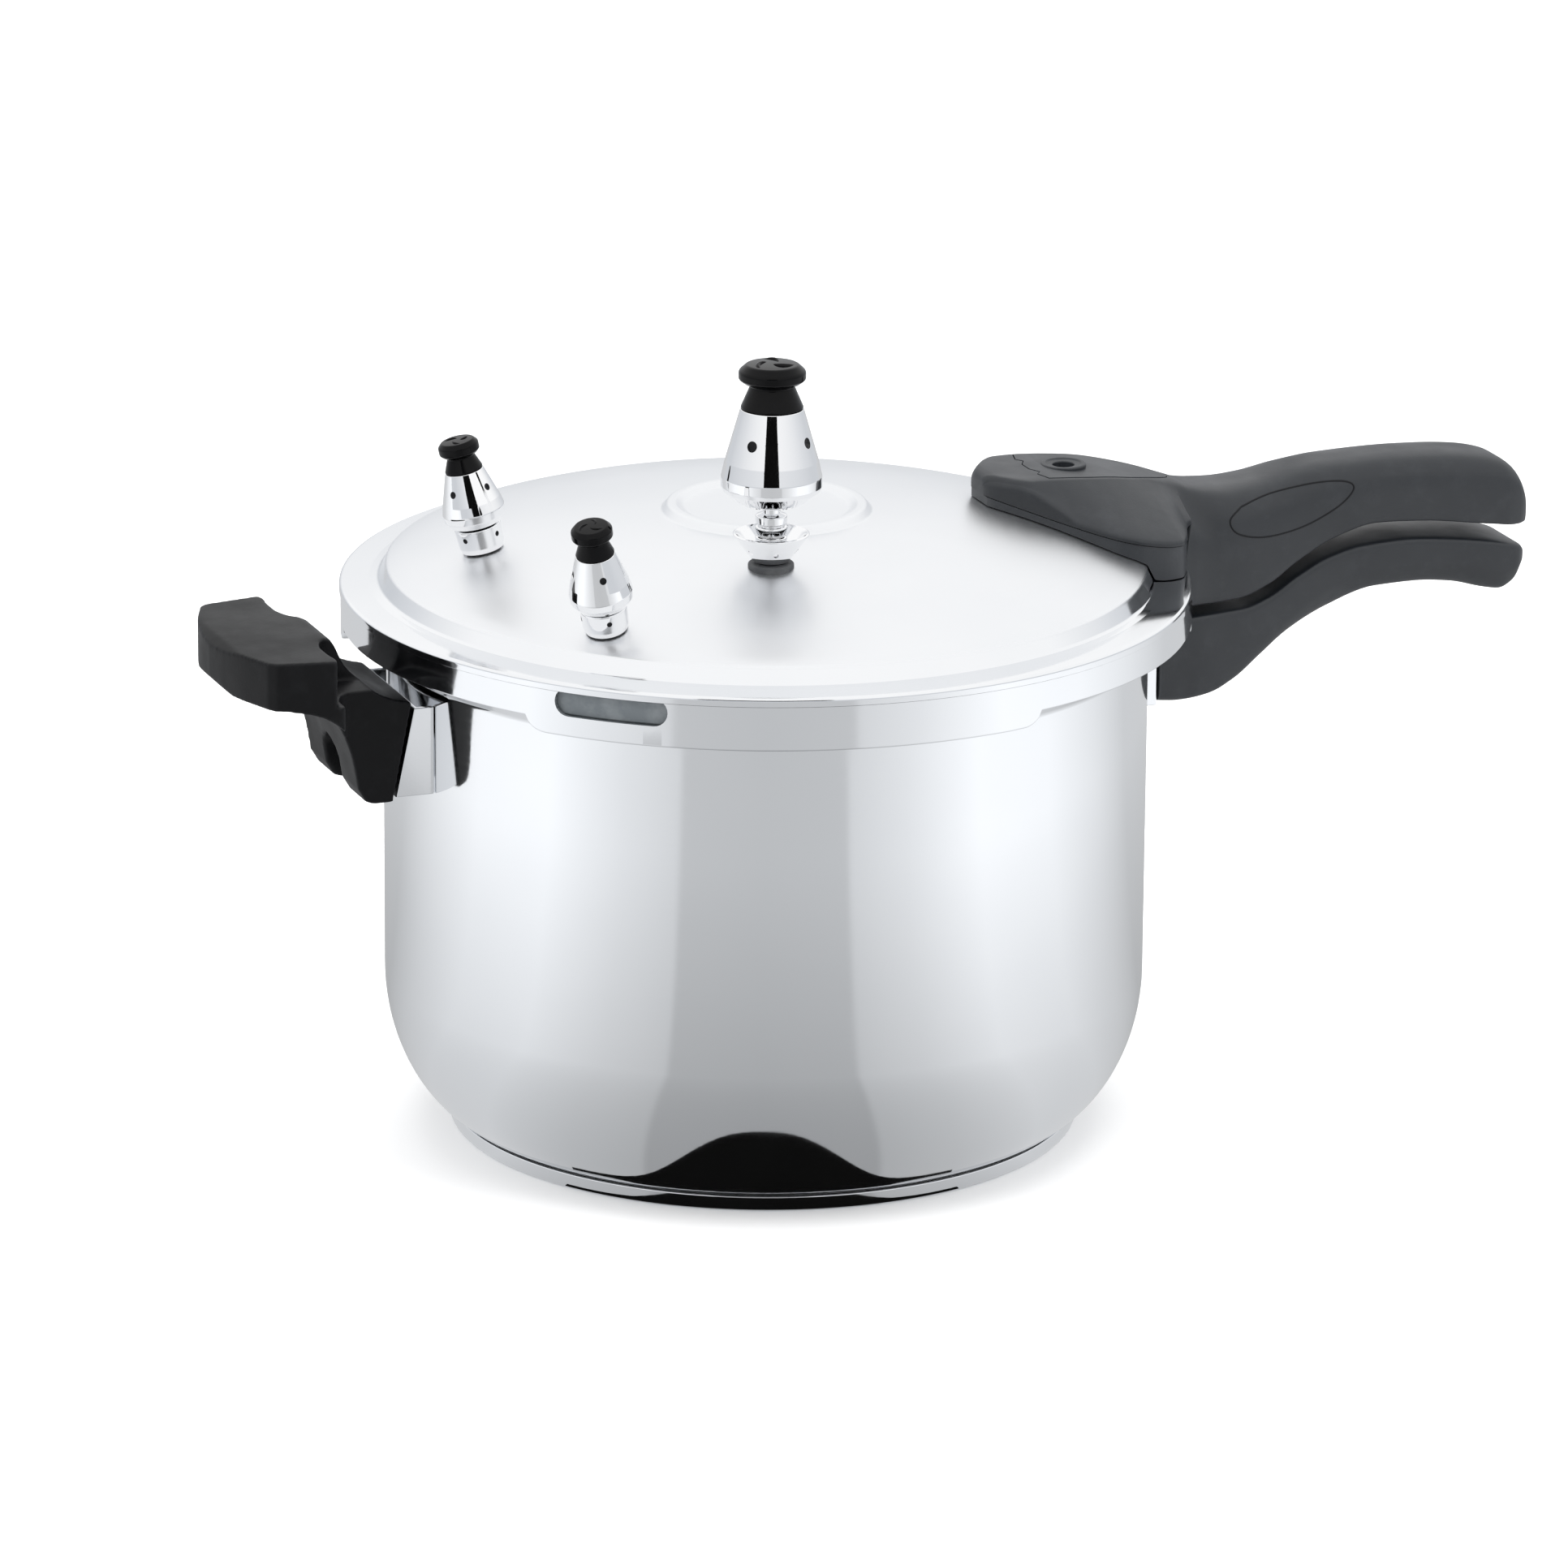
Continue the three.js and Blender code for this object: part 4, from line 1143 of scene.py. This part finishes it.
def valve(letter):
    at = stood(VALVES_AT[letter], True)
    body, name = f"valve_{letter}", f"relief_{letter}"
    collar = fillets([
        (0, -8), (3, -8, 0.5), (3, 0.9), (5.8, 0.9), (6.6, 0.3, 0.3), (7.2, 2.2, 0.8),
        (7.4, 8.2, 0.5), (6.4, 8.6), (2.5, 8.6), (2.5, 19, 0.6), (0, 19),
    ])
    fitting(f"{name}_collar", "lid", "chrome", f"{body}_body", collar, at,
            [spoke(az, 5.6, 9, 5.6, 0.85) for az in VENT_AZ])
    gasket = fillets([(3.3, 0.05), (5.5, 0.05, 0.2), (5.5, 0.8), (3.3, 0.8)])
    fitting(f"{name}_seal", "lid", "dark", f"{body}_gasket", gasket, at)
    nut = hex_nut(f"{name}_nut", 10, 3.3, -6, -2.1)
    nut.data.transform(at)
    fit(weighted(nut), "lid", "chrome", f"{body}_nut")
    bell = fillets([
        (0, 20.4), (3.3, 20.4), (3.3, 8.9), (7.4, 8.9, 0.4), (8.1, 9.3, 0.4), (9.7, 11.4, 0.5),
        (9.95, 13.8, 2), (9.2, 17, 4), (6.1, 27, 0.25), (2.6, 27), (2.6, 24), (0, 24),
    ], 6)
    fitting(f"{name}_cap", body, "chrome", f"{body}_bell", bell, at,
            [spoke(az, 5, 11, 21.4, 1.1) for az in VENT_AZ], 80)
    knob = fillets([
        (0, 24.3), (2.3, 24.3), (2.3, 27.2), (6.1, 27.2, 0.3), (4.3, 31.8, 0.5), (5.4, 32.3, 0.4),
        (6.45, 33.3, 0.8), (6.45, 35.6, 1), (5.2, 36.9, 0.9), (0, 37.2),
    ], 6)
    fitting(f"{name}_grip", body, "gloss", f"{body}_knob", knob, at, seg=80)
    # black plugs: painted shade inside the bell's and the collar's vents
    vent_shade_plugs(f"{name}_vent", body, 5.2, 7.3, 21.4, 1.07, at)
    vent_shade_plugs(f"{name}_port", "lid", 5.8, 6.9, 5.6, 0.82, at)
    swirl(f"{name}_swirl", body, 5.9, 37.05, at)


# ---- studio ----
CAMERA_AZ = 21            # degrees; the camera looks along this, clockwise from +Y
CAMERA_FAR = 2.922
CAMERA_HIGH = 1.006
CAMERA_TURN = 0.12        # degrees to the left of the object's axis
CAMERA_DOWN = 17.062
CAMERA_ROLL = 0.435
CAMERA_LENS = 219.86
# NEAR_BLACK colours the sheets that paint dark reflections in the fittings and the painted shadow
# under the pot
NEAR_BLACK = (0.004, 0.004, 0.004)
GAP_HALF = 17             # degrees to each side of the dark card that the fittings mirror


def camera():
    data = bpy.data.cameras.new("camera")
    data.sensor_width = 36
    data.sensor_fit = "HORIZONTAL"
    data.lens = CAMERA_LENS
    data.clip_start, data.clip_end = 0.1, 50
    obj = bpy.data.objects.new("camera", data)
    bpy.context.scene.collection.objects.link(obj)
    a = math.radians(CAMERA_AZ)
    place = Vector((-math.sin(a) * CAMERA_FAR, -math.cos(a) * CAMERA_FAR, CAMERA_HIGH))
    obj.matrix_world = (
        Matrix.Translation(place)
        @ Matrix.Rotation(-math.radians(CAMERA_AZ + CAMERA_TURN), 4, "Z")
        @ Matrix.Rotation(math.radians(90 - CAMERA_DOWN), 4, "X")
        @ Matrix.Rotation(math.radians(CAMERA_ROLL), 4, "Z")
    )
    bpy.context.scene.camera = obj


def card(name, corners, color):
    """Glowing sheet that only reflections see: it paints a reflection into the metal and the glossy
    mouldings.
    """
    obj = make(name, [tuple(c / MM for c in p) for p in corners], [tuple(range(len(corners)))])
    mat = bpy.data.materials.new(name)
    mat.use_nodes = True
    g = Graph(mat)
    g.nodes.clear()
    glow = g.nodes.new("ShaderNodeEmission")
    glow.inputs["Color"].default_value = (*color, 1)
    glow.inputs["Strength"].default_value = 1
    g.link(glow.outputs[0], g.nodes.new("ShaderNodeOutputMaterial").inputs["Surface"])
    obj.data.materials.append(mat)
    for ray in ("camera", "diffuse", "shadow", "transmission", "volume_scatter"):
        setattr(obj, f"visible_{ray}", False)
    return obj


def fill_ramp(ramp, stops):
    """Sets a colour ramp from (position, colour) stops."""
    ramp.elements[0].position, ramp.elements[1].position = stops[0][0], stops[-1][0]
    for position, _ in stops[1:-1]:
        ramp.elements.new(position)
    for element, (_, color) in zip(ramp.elements, stops):
        element.color = (*color, 1)


def around(azimuth, radius, z):
    """Point of the studio; azimuth is measured from the camera's side."""
    a = math.radians(-90 - CAMERA_AZ + azimuth)
    return (radius * math.cos(a), radius * math.sin(a), z)


def floor():
    size, step = 6.0, 24
    verts = [((i / step - 0.5) * size / MM, (j / step - 0.5) * size / MM, -0.2)
             for j in range(step + 1) for i in range(step + 1)]
    faces = [(j * (step + 1) + i, j * (step + 1) + i + 1, (j + 1) * (step + 1) + i + 1,
              (j + 1) * (step + 1) + i) for j in range(step) for i in range(step)]
    obj = make("studio_floor", verts, faces)
    mat = material("studio_paper", (0.92, 0.92, 0.92), 0.7, 0.0, Specular_IOR_Level=0.2)
    g = Graph(mat)
    g.normal(g.bump(g.noise(400, 3), 0.05, 0.0002))
    obj.data.materials.append(mat)
    obj.visible_glossy = False


def softbox(name, place, target, size, power):
    data = bpy.data.lights.new(name, "AREA")
    data.shape = "RECTANGLE"
    data.size, data.size_y = size
    data.energy = power
    obj = bpy.data.objects.new(name, data)
    bpy.context.scene.collection.objects.link(obj)
    obj.location = place
    obj.rotation_mode = "QUATERNION"
    obj.rotation_quaternion = (Vector(target) - Vector(place)).to_track_quat("-Z", "Y")
    obj.visible_glossy = False


def studio():
    scene = bpy.context.scene
    scene.view_settings.view_transform = "Standard"
    world = bpy.data.worlds.new("studio")
    world.use_nodes = True
    nodes, links = world.node_tree.nodes, world.node_tree.links
    sky = nodes["Background"]
    place = nodes.new("ShaderNodeTexCoord")
    split = nodes.new("ShaderNodeSeparateXYZ")
    ramp = nodes.new("ShaderNodeValToRGB")
    links.new(place.outputs["Generated"], split.inputs["Vector"])
    links.new(split.outputs["Z"], ramp.inputs["Fac"])
    links.new(ramp.outputs["Color"], sky.inputs["Color"])
    fill_ramp(ramp.color_ramp, [(0.0, (0.62, 0.64, 0.67)), (0.14, (0.74, 0.755, 0.78)),
                                (0.33, (1, 1, 1))])
    sky.inputs["Strength"].default_value = 1.06
    scene.world = world
    for name, place, size, power in (
            ("top_light", (0.2, 0.3, 2.4), (2.4, 2.4), 40),
            ("left_light", around(-62, 2.0, 1.3), (1.1, 1.8), 22),
            ("right_light", around(62, 2.0, 1.3), (1.1, 1.8), 22)):
        softbox(name, place, (0, 0, 0.1), size, power)
    # Black sheet in front of the pot, seen only in reflections: it paints the dark reflection
    # strips down the chrome bells and the knob necks.
    card("painted_dark_reflection", [around(-GAP_HALF, 1.5, 0.33), around(GAP_HALF, 1.5, 0.33),
                      around(GAP_HALF, 1.5, 0.84), around(-GAP_HALF, 1.5, 0.84)], NEAR_BLACK)
    floor_card()
    # Black lens-shaped sheet on the floor round the pot's front foot, seen only in reflections:
    # painted shadow under the pot, mirrored in its lower corner.
    turns = np.linspace(-38, 38, 39)
    lens = [around(a, 0.102 + 0.0445 * math.exp(-(abs(a) / 16) ** 2.6), 0.0008) for a in turns]
    lens += [around(a, 0.07, 0.0008) for a in reversed(turns)]
    card("painted_shadow_under_pot", lens, NEAR_BLACK)


def floor_card():
    """Glowing sheet that paints the floor's reflection in the polished metal: paler to the sides,
    grey in front and behind.
    """
    outline = [around(a, 2.4, 0.0003) for a in range(0, 360, 10)]
    g = Graph(card("mirrored_floor", outline, (1, 1, 1)).active_material)
    turn = g.nodes.new("ShaderNodeMapping")
    turn.inputs["Rotation"].default_value = (0, 0, math.radians(90 + CAMERA_AZ))
    g.link(g.place, turn.inputs["Vector"])
    at = g.split(turn.outputs["Vector"])
    away = g.math("ABSOLUTE", g.math("ARCTAN2", at["Y"], at["X"]), 0.0)
    level = g.nodes.new("ShaderNodeValToRGB")
    tones = [(0, 0.56), (21.5, 0.58), (22.8, 0.72), (38, 0.84), (60, 1.08), (85, 1.04),
             (106, 0.86), (125, 0.66), (180, 0.57)]     # degrees from the camera, level
    fill_ramp(level.color_ramp, [(degrees / 180, (tone * 0.975, tone * 0.99, tone * 1.01))
                                 for degrees, tone in tones])
    g.link(g.math("DIVIDE", away, math.pi), level.inputs["Fac"])
    length = g.nodes.new("ShaderNodeVectorMath")
    length.operation = "LENGTH"
    g.link(g.place, length.inputs[0])
    glow = next(n for n in g.nodes if n.bl_idname == "ShaderNodeEmission")
    g.link(level.outputs["Color"], glow.inputs["Color"])
    # Painted shade: the mirrored floor glows dimmer within half a metre of the pot, standing in for
    # the pot's shadow on the floor.
    g.link(g.ramp(length.outputs["Value"], 0.1, 0.5, 0.62, 1.06), glow.inputs["Strength"])


# ---- everything ----
camera()
floor()
studio()
pot_body()
base_pieces()
brackets()
screws()
lower_handle()
helper_handle()
lid_shell()
lid_skirt()
sealing_ring()
thumb_line(upper_handle())
handle_cover()
handle_base()
indicator()
vent()
weight()
for letter in VALVES_AT:
    valve(letter)
